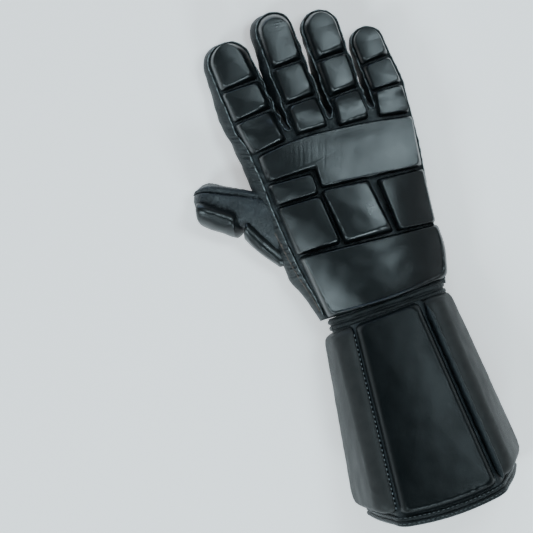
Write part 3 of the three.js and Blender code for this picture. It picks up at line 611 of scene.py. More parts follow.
@dataclass(frozen=True)
class LeatherFinish:
    """Black leather: pebbled grain, pores, soft blotches of gloss and folds of a given size."""

    name: str
    color: Triple
    pale: Triple
    roughness: float = 0.4
    grain_mm: float = 0.8
    grain_depth: float = 0.03
    crease_mm: float = 6.0
    crease_depth: float = 0.0
    stretch: Triple = (1.0, 1.0, 1.0)
    coat: float = 0.05
    coat_roughness: float = 0.45
    specular: float = 0.5
    pore_mm: float = 0.35
    gloss_mm: float = 22.0
    tint_mm: float = 9.0

    def build(self) -> Material:
        """Makes the material: grain from cells, folds from thin bands of noise, gloss from wide noise.

        Returns:
            The material.
        """
        sheet = MaterialSheet(self.name)
        place = sheet.coordinates()
        cells = sheet.add("ShaderNodeTexVoronoi", {"Scale": 1.0 / (self.grain_mm * MM)},
                          feature="DISTANCE_TO_EDGE")
        sheet.link(place, "Vector", cells, "Vector")
        pebble = sheet.ranged(cells, "Distance", 0.0, 0.25, 0.0, 1.0)
        relief = sheet.bump(pebble, "Result", self.grain_depth)
        pores = sheet.noise(place, self.pore_mm, 2.0)
        relief = sheet.bump(pores, "Fac", 0.4 * self.grain_depth, relief)
        if self.crease_depth > 0.0:
            folds = sheet.noise(sheet.coordinates(self.stretch), self.crease_mm, 4.0, 0.6)
            off_middle = sheet.calculated("SUBTRACT", (folds, "Fac"), 0.5)
            line = sheet.calculated("ABSOLUTE", (off_middle, "Value"))
            fold = sheet.ranged(line, "Value", 0.0, 0.09, 0.0, 1.0)
            relief = sheet.bump(fold, "Result", self.crease_depth, relief)
        blotch = sheet.noise(place, self.gloss_mm, 4.0)
        gloss = sheet.ranged(blotch, "Fac", 0.3, 0.7, self.roughness - 0.05, self.roughness + 0.06)
        share = sheet.ranged(sheet.noise(place, self.tint_mm, 5.0), "Fac", 0.35, 0.7, 0.0, 1.0)
        sheet.tint(share, "Result", self.color, self.pale)
        return sheet.finished(relief, gloss, Coat_Weight=self.coat, Coat_Roughness=self.coat_roughness,
                              Specular_IOR_Level=self.specular)


@dataclass(frozen=True)
class ClothFinish:
    """Black cloth: rows of small loops, a matt surface and a faint sheen."""

    name: str
    color: Triple
    pale: Triple
    pitch_mm: float = 0.9
    depth: float = 0.2

    def build(self) -> Material:
        """Makes the material from two crossed waves.

        Returns:
            The material.
        """
        sheet = MaterialSheet(self.name)
        place = sheet.coordinates()
        inputs = {"Scale": 0.3 / (self.pitch_mm * MM), "Distortion": 1.2, "Detail": 1.0}
        rows = [sheet.add("ShaderNodeTexWave", inputs, bands_direction=axis) for axis in "XY"]
        for wave in rows:
            sheet.link(place, "Vector", wave, "Vector")
        loops = sheet.calculated("MULTIPLY", *((wave, "Fac") for wave in rows))
        sheet.tint(loops, "Value", self.color, self.pale)
        return sheet.finished(sheet.bump(loops, "Value", self.depth), Roughness=0.92, Sheen_Weight=0.15,
                              Specular_IOR_Level=0.2)


@dataclass(frozen=True)
class EdgeFinish:
    """A raw leather edge, paler along the line that the point attribute cut marks: the cut's own colour, and
    on the back's seam edges partly a painted highlight along their top.
    """

    name: str
    color: Triple
    cut_and_highlight_color: Triple
    roughness: float = 0.5

    def build(self) -> Material:
        """Makes the material: the cut's colour, partly a painted highlight, breaks up along its length.

        Returns:
            The material.
        """
        sheet = MaterialSheet(self.name)
        cut = sheet.add("ShaderNodeAttribute", attribute_name="cut", attribute_type="GEOMETRY")
        wear_and_highlight_noise = sheet.noise(sheet.coordinates(), 2.2, 3.0)
        breaks = sheet.ranged(wear_and_highlight_noise, "Fac", 0.35, 0.65, 0.25, 1.0)
        share = sheet.calculated("MULTIPLY", (cut, "Fac"), (breaks, "Result"))
        # The pale cut colour is partly the raw edge's own colour and partly a painted highlight, broken up by
        # noise along the edge.
        sheet.tint(share, "Value", self.color, self.cut_and_highlight_color)
        gloss = sheet.ranged(wear_and_highlight_noise, "Fac", 0.3, 0.7, self.roughness - 0.1, self.roughness + 0.1)
        return sheet.finished(sheet.bump(wear_and_highlight_noise, "Fac", 0.08), gloss)


@dataclass(frozen=True)
class ThreadFinish:
    """Waxed black thread with a fine twist."""

    name: str
    color: Triple
    roughness: float = 0.45

    def build(self) -> Material:
        """Makes the material from one fine noise.

        Returns:
            The material.
        """
        sheet = MaterialSheet(self.name)
        twist = sheet.noise(sheet.coordinates(), 0.3, 2.0)
        sheet.tint(twist, "Fac", self.color, tuple(1.8 * part for part in self.color))
        return sheet.finished(sheet.bump(twist, "Fac", 0.06), Roughness=self.roughness)


class Finish(Enum):
    """The glove's finishes. No material of the CAD model has one of their names."""

    PAD = LeatherFinish("foam_block_leather", (0.0030, 0.0043, 0.0048), (0.005, 0.0067, 0.0074), 0.32,
                        grain_mm=0.6, grain_depth=0.02)
    BACK = LeatherFinish("back_black_leather", (0.012, 0.0155, 0.0175), (0.019, 0.0235, 0.026), 0.5,
                         crease_mm=5.0, crease_depth=0.12, stretch=(1.0, 0.6, 1.0), coat=0.0, specular=0.3)
    SIDE = LeatherFinish("side_wall_leather", (0.005, 0.0068, 0.0076), (0.011, 0.014, 0.0155), 0.46,
                         crease_mm=3.5, crease_depth=0.12, stretch=(0.5, 1.6, 0.6))
    PALM = LeatherFinish("palm_black_leather", (0.005, 0.006, 0.0066), (0.012, 0.0136, 0.0146), 0.38,
                         crease_mm=5.0, crease_depth=0.22)
    THUMB = LeatherFinish("thumb_black_leather", (0.006, 0.0082, 0.0104), (0.015, 0.019, 0.023), 0.42,
                          crease_mm=3.0, crease_depth=0.12, stretch=(1.6, 1.0, 1.0))
    CENTRE = LeatherFinish("gauntlet_black_leather", (0.0030, 0.0042, 0.0046), (0.0045, 0.006, 0.0066), 0.36,
                           grain_mm=0.6, grain_depth=0.02, crease_mm=14.0, crease_depth=0.015, coat=0.0,
                           specular=0.15)
    # CUFF's grey base, far lighter than the other black leathers, is a painted reflection of the pale
    # surround on the gauntlet's steep side blocks.
    CUFF = LeatherFinish("gauntlet_grey_leather", (0.024, 0.0235, 0.023), (0.031, 0.0304, 0.0298), 0.45,
                         crease_mm=9.0, crease_depth=0.02, coat=0.0, specular=0.14)
    BINDING = LeatherFinish("binding_black_leather", (0.005, 0.0065, 0.0072), (0.011, 0.0135, 0.0145), 0.45,
                            grain_mm=0.6, grain_depth=0.05, crease_mm=2.5, crease_depth=0.10, coat=0.0,
                            specular=0.3)
    CLOTH = ClothFinish("lining_black_cloth", (0.006, 0.007, 0.008), (0.022, 0.024, 0.026))
    HOOK = ClothFinish("hook_tape", (0.005, 0.005, 0.005), (0.020, 0.020, 0.020), 1.3, 0.5)
    # RAW_EDGE's pale cut colour on the seams' tops is partly the raw edge's colour and partly a painted
    # highlight.
    RAW_EDGE = EdgeFinish("raw_edge", (0.004, 0.005, 0.0055), (0.30, 0.33, 0.335))
    TAN_EDGE = EdgeFinish("tan_edge", (0.010, 0.009, 0.008), (0.085, 0.062, 0.05))
    THREAD = ThreadFinish("thread", (0.03, 0.034, 0.036))
    # A lighter copy of the same thread: a painted highlight on the stitches that lie in the radial valley's
    # shade.
    PALE_THREAD = ThreadFinish("pale_thread", (0.07, 0.08, 0.085))

    def material(self) -> Material:
        """The finish's material, made at its first use."""
        found = bpy.data.materials.get(self.value.name)
        return found or self.value.build()


# The hand's form


@dataclass(frozen=True)
class Finger:
    """One finger: its back panel at the knuckle and at the middle of the round tip, and its palm panel."""

    name: str
    root_x: float
    root_half: float
    tip_x: float
    tip_y: float
    tip_half: float
    root_z: float
    tip_z: float
    palm_shift: float
    palm_half: float
    radial_bulge: float
    near_tip_bulge: float
    ulnar_bulge: float

    def share(self, y: Array) -> Array:
        """Place along the finger: 0 at the knuckle, 1 at the tip's middle."""
        return (y - FINGER_ROOT_Y) / (self.tip_y - FINGER_ROOT_Y)

    def axis(self, y: Array) -> Array:
        """The finger's middle line."""
        return mix(self.root_x, self.tip_x, self.share(y))


FINGER_ROOT_Y = 140.0
FINGERS = (
    Finger("index", -46.7, 15.2, -52.2, 186.0, 14.3, 22.0, 18.0, -2.0, 10.4, 8.6, 4.6, 5.4),
    Finger("middle", -13.7, 12.3, -17.3, 198.5, 12.0, 24.5, 18.5, -3.5, 9.8, 6.4, 4.8, 1.0),
    Finger("ring", 15.4, 11.4, 12.8, 191.0, 12.0, 23.0, 17.5, -6.0, 9.0, 3.0, 2.2, 1.0),
    Finger("little", 43.8, 11.3, 40.2, 173.0, 10.4, 20.0, 15.5, -5.5, 9.3, 3.0, 2.0, 2.5),
)
HAND_START = 3.2
# Edges of the back and palm panels along the hand, and the back's heights
HAND_COLUMNS = ("y", "back_radial", "back_ulnar", "palm_radial", "palm_ulnar", "radial_z", "ulnar_z", "crown")
HAND_ROWS = dict(zip(HAND_COLUMNS, np.array([
    (3.2, -41.0, 42.0, -36, 36, 24, 22, 17),
    (15, -42.0, 44.5, -37, 38, 24, 21, 17),
    (40, -48.2, 45.8, -42, 38, 24, 20, 15),
    (60, -50.8, 48.3, -45, 40, 24, 19, 14),
    (80, -53.5, 51.0, -48, 43, 24, 19, 12),
    (105, -54.7, 53.5, -50, 45, 23, 18, 10),
    (128, -58.0, 54.0, -53, 46, 22, 17, 7),
]).T))
HAND_GRID_ROWS = 110
FINGER_GRID_ROWS = 78
GRID_COLUMNS = 24  # spaces across each finger's share of the hand
HAND_AVERAGE = 10.0  # the columns are averaged this far each way
FINGER_ARCH = 3.5  # a finger's back falls this much from its middle to its edge
FINGER_ROLL = 0.12  # it slopes to the little finger's side
TIP_DROP = 5.0  # and falls over its round tip
BACK_BLEND = 16.0  # the hand's back becomes the finger's over this length
PALM_CURL = 3.0  # the palm panel's edges turn up
PALM_BLEND = 12.0
PALM_TIP_SHORT = 3.0  # a finger's palm panel ends this much before its back panel
WRIST_RISE = 6.0  # the palm panel climbs this much to the wrist
WRIST_RISE_END = 32.0
GAP_POWER = 3.6  # how square the gap between two fingers is
SIDE_BULGE = {"tip": 1.2, "crotch": 0.5, "ulnar": 3.0}


def hand_row(y: Array, column: str) -> Array:
    """A column of HAND_ROWS at y, on straight lines between its rows that are averaged over 20 mm."""
    near = np.asarray(y)[..., None] + np.linspace(-HAND_AVERAGE, HAND_AVERAGE, 9)
    return np.interp(near, HAND_ROWS["y"], HAND_ROWS[column]).mean(axis=-1)


def back_height(x: Array, y: Array, finger: Optional[Finger] = None, start: float = 131.0) -> Array:
    """Height of the leather on the back.

    The hand is an arch over a slope, edge + crown 4 u (1 - u). A finger is a ridge that falls with the
    square of the distance across it and past its tip. From start on, one becomes the other.

    Args:
        x: Places across.
        y: Places along.
        finger: The finger that the places belong to, if any.
        start: Where the finger's form begins.

    Returns:
        Heights over the floor.
    """
    radial = hand_row(y, "back_radial")
    u = np.clip((x - radial) / (hand_row(y, "back_ulnar") - radial), -0.05, 1.05)
    hand = mix(hand_row(y, "radial_z"), hand_row(y, "ulnar_z"), u) + hand_row(y, "crown") * 4 * u * (1 - u)
    if finger is None:
        return hand
    along = np.clip(finger.share(y), 0.0, 1.0)
    across = np.clip((x - finger.axis(y)) / mix(finger.root_half, finger.tip_half, along), -1.2, 1.2)
    past = np.clip((y - finger.tip_y) / finger.tip_half, 0.0, 1.1)
    drop = mix(FINGER_ARCH * across**2, TIP_DROP, past**2) + FINGER_ROLL * across * finger.root_half
    ridge = mix(finger.root_z, finger.tip_z, along) - drop
    return mix(hand, ridge, smoothstep(y, start, start + BACK_BLEND))


def palm_height(x: Array, y: Array, finger: Optional[Finger] = None, start: float = 149.0) -> Array:
    """Height of the palm's outer face: flat in the middle, with edges that curl up.

    Args:
        x: Places across.
        y: Places along.
        finger: The finger that the places belong to, if any.
        start: Where the finger's form begins.

    Returns:
        Heights over the floor.
    """
    radial = hand_row(y, "palm_radial")
    u = np.clip((x - radial) / (hand_row(y, "palm_ulnar") - radial), -0.1, 1.1)
    hand = PALM_CURL * (2 * u - 1) ** 4 + WRIST_RISE * (1 - smoothstep(y, 3.0, WRIST_RISE_END))
    if finger is None:
        return hand
    across = (x - finger.axis(y) - finger.palm_shift) / finger.palm_half
    past = np.clip((y - finger.tip_y) / finger.palm_half, 0.0, 1.1)
    tip = PALM_CURL * np.minimum(1.2, across**2 + past**2)
    return mix(hand, tip, smoothstep(y, start, start + PALM_BLEND))


@dataclass(frozen=True)
class Panel:
    """The back or the palm of the hand with its four finger panels."""

    radial: str
    ulnar: str
    root_y: float
    crotches: tuple[Pair, ...]
    height: Callable[..., Array]
    is_palm: bool

    def tip(self, finger: Finger) -> Pair:
        """A finger panel's round tip.

        Args:
            finger: The finger.

        Returns:
            The y of its middle, and its radius.
        """
        if self.is_palm:
            return finger.tip_y + finger.tip_half - finger.palm_half - PALM_TIP_SHORT, finger.palm_half
        return finger.tip_y, finger.tip_half

    def middle(self, finger: Finger, y: Array) -> Array:
        """A finger panel's middle line."""
        shift = finger.palm_shift * mix(1.0, 0.4, smoothstep(y, finger.tip_y - 28.0, finger.tip_y - 4.0))
        return finger.axis(y) + (shift if self.is_palm else 0.0)

    def edge(self, index: int, sign: int, y: Array) -> Array:
        """A finger panel's edge from the V beside it to its tip.

        Between fingers the gap opens like the end of a U, as (1 - (1 - t)^3.6)^(1/3.6).

        Args:
            index: Which finger.
            sign: -1 for the thumb's side, 1 for the little finger's.
            y: Places along.

        Returns:
            Places across.
        """
        finger = FINGERS[index]
        tip_y, tip_half = self.tip(finger)
        root_half = finger.palm_half if self.is_palm else finger.root_half
        past_root = np.maximum(y, self.root_y)
        share = (past_root - self.root_y) / (tip_y - self.root_y)
        line = self.middle(finger, past_root) + sign * mix(root_half, tip_half, share)
        side = index + (sign > 0)
        if side in (0, len(FINGERS)):
            column = self.radial if side == 0 else self.ulnar
            last = HAND_ROWS["y"][-1]
            share = np.clip((y - last) / (self.root_y - last), 0.0, 1.0)
            return np.where(y < self.root_y, mix(hand_row(y, column), line, share), line)
        x, start = self.crotches[side - 1]
        t = np.clip((y - start) / (self.root_y - start), 0.0, 1.0)
        return mix(x, line, np.maximum(1 - (1 - t) ** GAP_POWER, 0.0) ** (1 / GAP_POWER))

    def ends(self) -> list[float]:
        """Where the hand ends and the fingers begin: at each outer edge and at each V."""
        inner = [y for _, y in self.crotches]
        return [inner[0], *inner, inner[-1]]

    def start(self, index: int) -> float:
        """Where a finger's form begins."""
        return max(self.ends()[index:index + 2])

    def hand_grid(self) -> Array:
        """The hand from the wrist to the Vs.

        Returns:
            A grid of flat points.
        """
        ends = self.ends()
        edge_x = [self.edge(0, -1, np.array(ends[0])), *[x for x, _ in self.crotches],
                  self.edge(3, 1, np.array(ends[-1]))]
        position = np.linspace(0.0, 4.0, 4 * GRID_COLUMNS + 1)
        share = (np.array(edge_x) - edge_x[0]) / (edge_x[-1] - edge_x[0])
        v = np.linspace(0.0, 1.0, HAND_GRID_ROWS)[:, None]
        y = mix(HAND_START, np.interp(position, range(5), ends), v)
        x = mix(self.edge(0, -1, y), self.edge(3, 1, y), np.interp(position, range(5), share))
        return np.stack([x, y], axis=-1)

    def finger_grid(self, index: int) -> Array:
        """A finger from its Vs to its tip: straight rows between its two edges, as a grid of flat points."""
        radial, ulnar = (self.edge_line(index, sign, FINGER_GRID_ROWS)[:, None] for sign in (-1, 1))
        return mix(radial, ulnar, np.linspace(0.0, 1.0, GRID_COLUMNS + 1)[:, None])

    def edge_line(self, index: int, sign: int, rows: int) -> Array:
        """One finger panel's edge from the V to the tip's end, its last third round the tip.

        Args:
            index: Which finger.
            sign: -1 for the thumb's side, 1 for the little finger's.
            rows: Number of points.

        Returns:
            The flat points.
        """
        finger = FINGERS[index]
        tip_y, tip_half = self.tip(finger)
        start = self.ends()[index + (sign > 0)]
        y = mix(start, tip_y, np.linspace(0.0, 1.0, rows - rows // 3) ** 1.5)
        stem = np.stack([self.edge(index, sign, y), y], axis=1)
        angle = np.linspace(0.0, math.pi / 2, rows // 3 + 1)[1:]
        middle = self.middle(finger, np.array(tip_y))
        tip = np.stack([middle + sign * tip_half * np.cos(angle), tip_y + tip_half * np.sin(angle)], axis=1)
        return np.concatenate([stem, tip])

    def surface(self) -> Surface:
        """The whole panel at its height.

        Returns:
            The surface.
        """
        flat = [(self.hand_grid(), None, 0.0)]
        flat += [(self.finger_grid(index), finger, self.start(index)) for index, finger in enumerate(FINGERS)]
        parts = []
        for grid, finger, start in flat:
            z = self.height(grid[..., 0], grid[..., 1], finger, start)
            parts.append(grid_surface(np.concatenate([grid, z[..., None]], axis=-1)))
        return parts[0].joined(*parts[1:]).welded()

    def outline(self, hand_points: int, finger_points: int) -> tuple[Array, Array]:
        """The panel's outline from the wrist's radial end round the fingers to its ulnar end.

        Args:
            hand_points: Points on each side of the hand.
            finger_points: Points on each side of a finger.

        Returns:
            The points with their heights, and for each point its place: whole numbers are, in order,
            the radial hand edge's start and then V, tip, V, tip to the last V and the hand's end.
        """
        ends = self.ends()
        parts, places = [], []

        def add(line: Array, index: Optional[int], first: float) -> None:
            """Adds a stretch of the outline.

            Args:
                line: Its flat points.
                index: Which finger it belongs to, if any.
                first: The place of its first point.
            """
            finger = None if index is None else FINGERS[index]
            z = self.height(line[:, 0], line[:, 1], finger, 0.0 if index is None else self.start(index))
            parts.append(np.concatenate([line, z[:, None]], axis=1))
            places.append(first + np.linspace(0.0, 1.0, len(line)))

        y = np.linspace(HAND_START, ends[0], hand_points)
        add(np.stack([self.edge(0, -1, y), y], axis=1)[:-1], None, 0.0)
        for index in range(len(FINGERS)):
            add(self.edge_line(index, -1, finger_points)[:-1], index, 1.0 + 2 * index)
            add(self.edge_line(index, 1, finger_points)[::-1][:-1], index, 2.0 + 2 * index)
        y = np.linspace(ends[-1], HAND_START, hand_points)
        add(np.stack([self.edge(3, 1, y), y], axis=1), None, 9.0)
        return np.concatenate(parts), np.concatenate(places)


BACK = Panel("back_radial", "back_ulnar", FINGER_ROOT_Y, ((-27.5, 131.0), (1.5, 130.0), (29.3, 129.0)),
             back_height, False)
PALM = Panel("palm_radial", "palm_ulnar", 158.0, ((-34.5, 149.0), (-6.0, 147.0), (20.0, 144.0)),
             palm_height, True)


# Foam blocks


def moved_in(corners: Array, insets: tuple[float, ...]) -> Array:
    """Moves each side of an outline inwards.

    Args:
        corners: Corner points, counter-clockwise.
        insets: How far each side moves, the first one from the first corner to the second.

    Returns:
        The new corners.
    """
    sides = np.roll(corners, -1, axis=0) - corners
    inward = unit(np.stack([-sides[:, 1], sides[:, 0]], axis=1))
    reach = (inward * corners).sum(axis=1) + np.array(insets)
    pairs = np.stack([np.roll(inward, 1, axis=0), inward], axis=1)
    return np.linalg.solve(pairs, np.stack([np.roll(reach, 1), reach], axis=1)[..., None])[..., 0]


@dataclass
class FoamBlock:
    """A foam block under leather: a wall from its foot up to the edge of a soft, slightly crowned top.

    The wall's height at share w of its width is high (1 - (1 - w)^2.1)^(1/1.75). The top's is
    high + crown (1 - rho^2), with rho = 1 on its edge and 0 in its middle. place puts a point of its
    plan and a height over the leather into the drawing, and relief changes the height there.
    """

    name: str
    node: str
    foot: Array
    top: Array
    place: Place
    high: float
    crown: float = 0.5
    foot_radius: float = 2.6
    top_radius: float = 3.4
    radii: Optional[tuple] = None
    finish: Finish = Finish.PAD
    slot: str = "pad_leather"
    side_points: int = 22
    top_rings: int = 26
    relief: Optional[Callable[[Array, Array], Array]] = None
    seed: int = 1
    middle: Optional[Array] = None

    def make(self) -> None:
        """Builds the block."""
        plain = tuple(np.full(len(self.foot), radius) for radius in (self.foot_radius, self.top_radius))
        foot_radii, top_radii = self.radii or plain
        foot = rounded_ring(self.foot, foot_radii, self.side_points)
        top = rounded_ring(self.top, top_radii, self.side_points)
        middle = top.mean(axis=0) if self.middle is None else self.middle
        w = np.linspace(0.0, 1.0, 18)[:, None]
        wall = mix(foot[None], top[None], w[..., None])
        rise = self.high * (1.0 - (1.0 - w) ** 2.1) ** (1.0 / 1.75)
        pucker = 0.10 * waves(top, (5.0, 5.0), self.seed)[None] * np.sin(math.pi * w)
        rho = np.linspace(1.0, 0.0, self.top_rings + 1)[1:, None]
        inner = mix(middle, top[None], rho[..., None])
        dome = self.high + self.crown * (1.0 - rho**2) + 0.0 * inner[..., 0]
        flat = np.concatenate([wall, inner])
        height = np.concatenate([rise + pucker, dome])
        tau = np.minimum(np.concatenate([w + 0.0 * pucker, 1.0 + 0.0 * dome]), 1.0)
        height += 0.05 * waves(flat, (16.0, 16.0), self.seed) * tau
        if self.relief is not None:
            height += self.relief(flat, tau)
        upper = self.place(flat[..., 0], flat[..., 1], np.maximum(height, 0.0) + GAP)
        low = np.stack([middle + 0.0 * foot, 0.5 * (foot + middle), foot])
        under = self.place(low[..., 0], low[..., 1], np.full(low.shape[:2], GAP * 0.6))
        surface = grid_surface(np.concatenate([under, upper]), wrap_columns=True).welded()
        Piece(self.name, surface, self.finish, self.slot, (self.node,), fill=0.9).make()


@dataclass(frozen=True)
class FingerPlan:
    """Where a finger's blocks lie: the channels below them and the edges of their tops.

    A channel is its y at the finger's two edges. A top's corners are near thumb side, near little finger
    side, and then back. A tip's top is its two near corners and a dome: middle x, y, half width, height.
    """

    root_channel: Pair
    middle_channel: Pair
    tip_channel: Pair
    root_top: tuple
    middle_top: tuple
    tip_near: tuple
    tip_dome: tuple


KINDS = ("root", "middle", "tip")
HALF_CORNER = math.radians(22.5)  # an octagon's corner is this far from its side's middle


@dataclass
class FingerBlocks:
    """The three foam blocks on each finger.

    Each lies seam inside its panel's edge, or crotch_floor beside a V, and half_channel beside the
    middle of a channel. A root's foot has two more corners, at waist_y. rolls are the slopes of the
    tops across each finger: root, middle and tip.
    """

    high: float = 8.5
    seam: float = 1.0
    half_channel: float = 0.55
    crotch_floor: float = 3.4
    waist_y: float = 137.0
    rolls: tuple = ((0.08, 0.20, 0.18), (-0.06, 0.09, 0.02), (-0.03, 0.0, 0.0), (0.06, 0.08, 0.08))
    plans: tuple[FingerPlan, ...] = (
        FingerPlan((121.6, 124.4), (146.0, 148.4), (168.6, 170.2),
                   ((-52.4, 124.0), (-34.3, 129.0), (-38.4, 146.6), (-57.6, 144.6)),
                   ((-57.0, 149.4), (-37.3, 153.6), (-39.7, 167.8), (-61.4, 166.5)),
                   ((-59.2, 172.6), (-41.2, 175.2)), (-52.6, 187.0, 8.9, 12.0)),
        FingerPlan((125.6, 125.5), (147.2, 148.4), (173.0, 174.0),
                   ((-19.6, 130.0), (-3.6, 130.4), (-5.7, 146.4), (-21.4, 145.6)),
                   ((-22.1, 151.6), (-5.7, 154.8), (-7.9, 172.2), (-23.2, 171.5)),
                   ((-23.4, 177.2), (-7.0, 179.0)), (-16.4, 197.0, 9.0, 8.8)),
        FingerPlan((123.3, 122.5), (144.0, 145.0), (170.2, 170.6),
                   ((8.4, 126.6), (25.6, 128.4), (23.3, 143.2), (8.6, 142.6)),
                   ((8.6, 149.0), (23.7, 151.0), (23.0, 168.8), (7.8, 168.6)),
                   ((8.2, 175.4), (23.4, 177.6)), (14.2, 190.0, 8.6, 10.8)),
        FingerPlan((121.4, 118.2), (139.7, 139.4), (158.5, 160.0),
                   ((34.8, 124.4), (53.6, 121.2), (52.6, 138.0), (36.2, 138.2)),
                   ((35.8, 142.4), (52.8, 142.6), (50.8, 158.4), (35.4, 157.0)),
                   ((35.2, 162.2), (49.8, 164.2)), (40.6, 172.5, 8.3, 10.0)),
    )

    def make(self) -> None:
        """Builds the twelve blocks."""
        for index, plan in enumerate(self.plans):
            near = self.foot_side(index, plan.root_channel, 1)
            far = self.foot_side(index, plan.middle_channel, -1)
            waist = self.foot_side(index, (self.waist_y, self.waist_y), 0)
            foot = np.array([near[0], near[1], waist[1], far[1], far[0], waist[0]])
            top = np.array(plan.root_top)
            top = np.array([top[0], top[1], top[1:3].mean(axis=0), top[2], top[3], top[[0, 3]].mean(axis=0)])
            radii = [np.array([radius, radius, 5.0, radius, radius, 5.0]) for radius in (2.6, 3.2)]
            self.make_block(index, "root", foot, top, tuple(radii))
            near = self.foot_side(index, plan.middle_channel, 1)
            far = self.foot_side(index, plan.tip_channel, -1)
            self.make_block(index, "middle", np.array([*near, *far[::-1]]), np.array(plan.middle_top))
            self.make_tip(index, plan)

    def foot_side(self, index: int, channel: Pair, beside: int) -> list[Pair]:
        """A foot's two corners at a channel's ends, beside it, and in from the finger panel's edges.

        Args:
            index: Which finger.
            channel: The channel's y at both edges.
            beside: 1 above the channel, -1 below it, 0 on it.

        Returns:
            The corner on the thumb's side and the one on the little finger's.
        """
        corners = []
        for sign, middle_y in zip((-1, 1), channel):
            y = middle_y + beside * self.half_channel
            inset = self.seam
            if index + (sign > 0) not in (0, len(FINGERS)):
                inset = mix(self.crotch_floor, self.seam, float(smoothstep(np.array(y), 128.0, 138.0)))
            corners.append((float(BACK.edge(index, sign, np.array(y))) - sign * inset, y))
        return corners

    def make_tip(self, index: int, plan: FingerPlan) -> None:
        """Builds a tip's block. A dome has four corners, of an octagon round its ellipse.

        Args:
            index: Which finger.
            plan: Where its blocks lie.
        """
        finger = FINGERS[index]
        turn = HALF_CORNER * np.array([1.0, 3.0, 5.0, 7.0])
        circle = np.stack([np.cos(turn), np.sin(turn)], axis=1) / math.cos(HALF_CORNER)
        reach = finger.tip_half - self.seam
        x, y, half, high = plan.tip_dome
        near = self.foot_side(index, plan.tip_channel, 1)
        foot = np.concatenate([near, np.array([finger.tip_x, finger.tip_y]) + reach * circle])
        top = np.concatenate([np.array(plan.tip_near), np.array([x, y]) + np.array([half, high]) * circle])
        bend = math.tan(HALF_CORNER)
        radii = [np.array([base] * 2 + [bend * size] * 4) for base, size in ((2.6, reach), (3.2, high))]
        self.make_block(index, "tip", foot, top, tuple(radii))

    def make_block(self, index: int, kind: str, foot: Array, top: Array,
                   radii: Optional[tuple] = None) -> None:
        """Builds one block over a finger's back.

        Args:
            index: Which finger.
            kind: Which of its blocks.
            foot: Corners of the foot.
            top: Corners of the top.
            radii: How far from each corner of the foot and of the top its rounding starts.
        """
        finger = FINGERS[index]
        start = BACK.start(index)

        def over(x: Array, y: Array, h: Array) -> Array:
            """The point h above the finger's back."""
            return np.stack([x, y, back_height(x, y, finger, start) + h], axis=-1)

        def relief(flat: Array, tau: Array) -> Array:
            """Fills the finger's arch under a flat top and turns the top by the block's own roll.

            Args:
                flat: Points of the block's plan.
                tau: Shares of the way up its wall, 1 on its top.

            Returns:
                What is added to its height.
            """
            x, y = flat[..., 0], flat[..., 1]
            along = np.clip(finger.share(y), 0.0, 1.0)
            across = (x - finger.axis(y)) / mix(finger.root_half, finger.tip_half, along)
            past = np.clip((y - finger.tip_y) / finger.tip_half, 0.0, 1.1)
            fill = 0.8 * mix(FINGER_ARCH * across**2, TIP_DROP, past**2)
            turned = self.rolls[index][KINDS.index(kind)] * (x - finger.axis(y))
            folds = self.tip_folds(flat) if (finger.name, kind) == ("middle", "tip") else 0.0
            fill = fill * smoothstep(y, start, start + 8.0)
            fill = fill + turned * smoothstep(y, start - 12.0, start - 4.0)
            return (fill + folds) * tau

        FoamBlock(f"{finger.name}_{kind}_block", f"{finger.name}_{kind}_pad", foot, top, over, self.high,
                  radii=radii, relief=relief, seed=10 * index + len(kind)).make()

    @staticmethod
    def tip_folds(flat: Array) -> Array:
        """A few short fine folds across the far end of the middle finger's tip.

        Args:
            flat: Points of the block's plan.

        Returns:
            Their heights.
        """
        x, y = flat[..., 0], flat[..., 1]
        where = bell(y - 200.5, 3.6) * bell(x + 15.5, 5.5)
        return -0.11 * where * (0.5 + 0.5 * np.sin(2.0 * math.pi * y / 1.9 + 0.25 * x))


def over_hand(x: Array, y: Array, h: Array) -> Array:
    """The point h above the back of the hand."""
    return np.stack([x, y, back_height(x, y) + h], axis=-1)


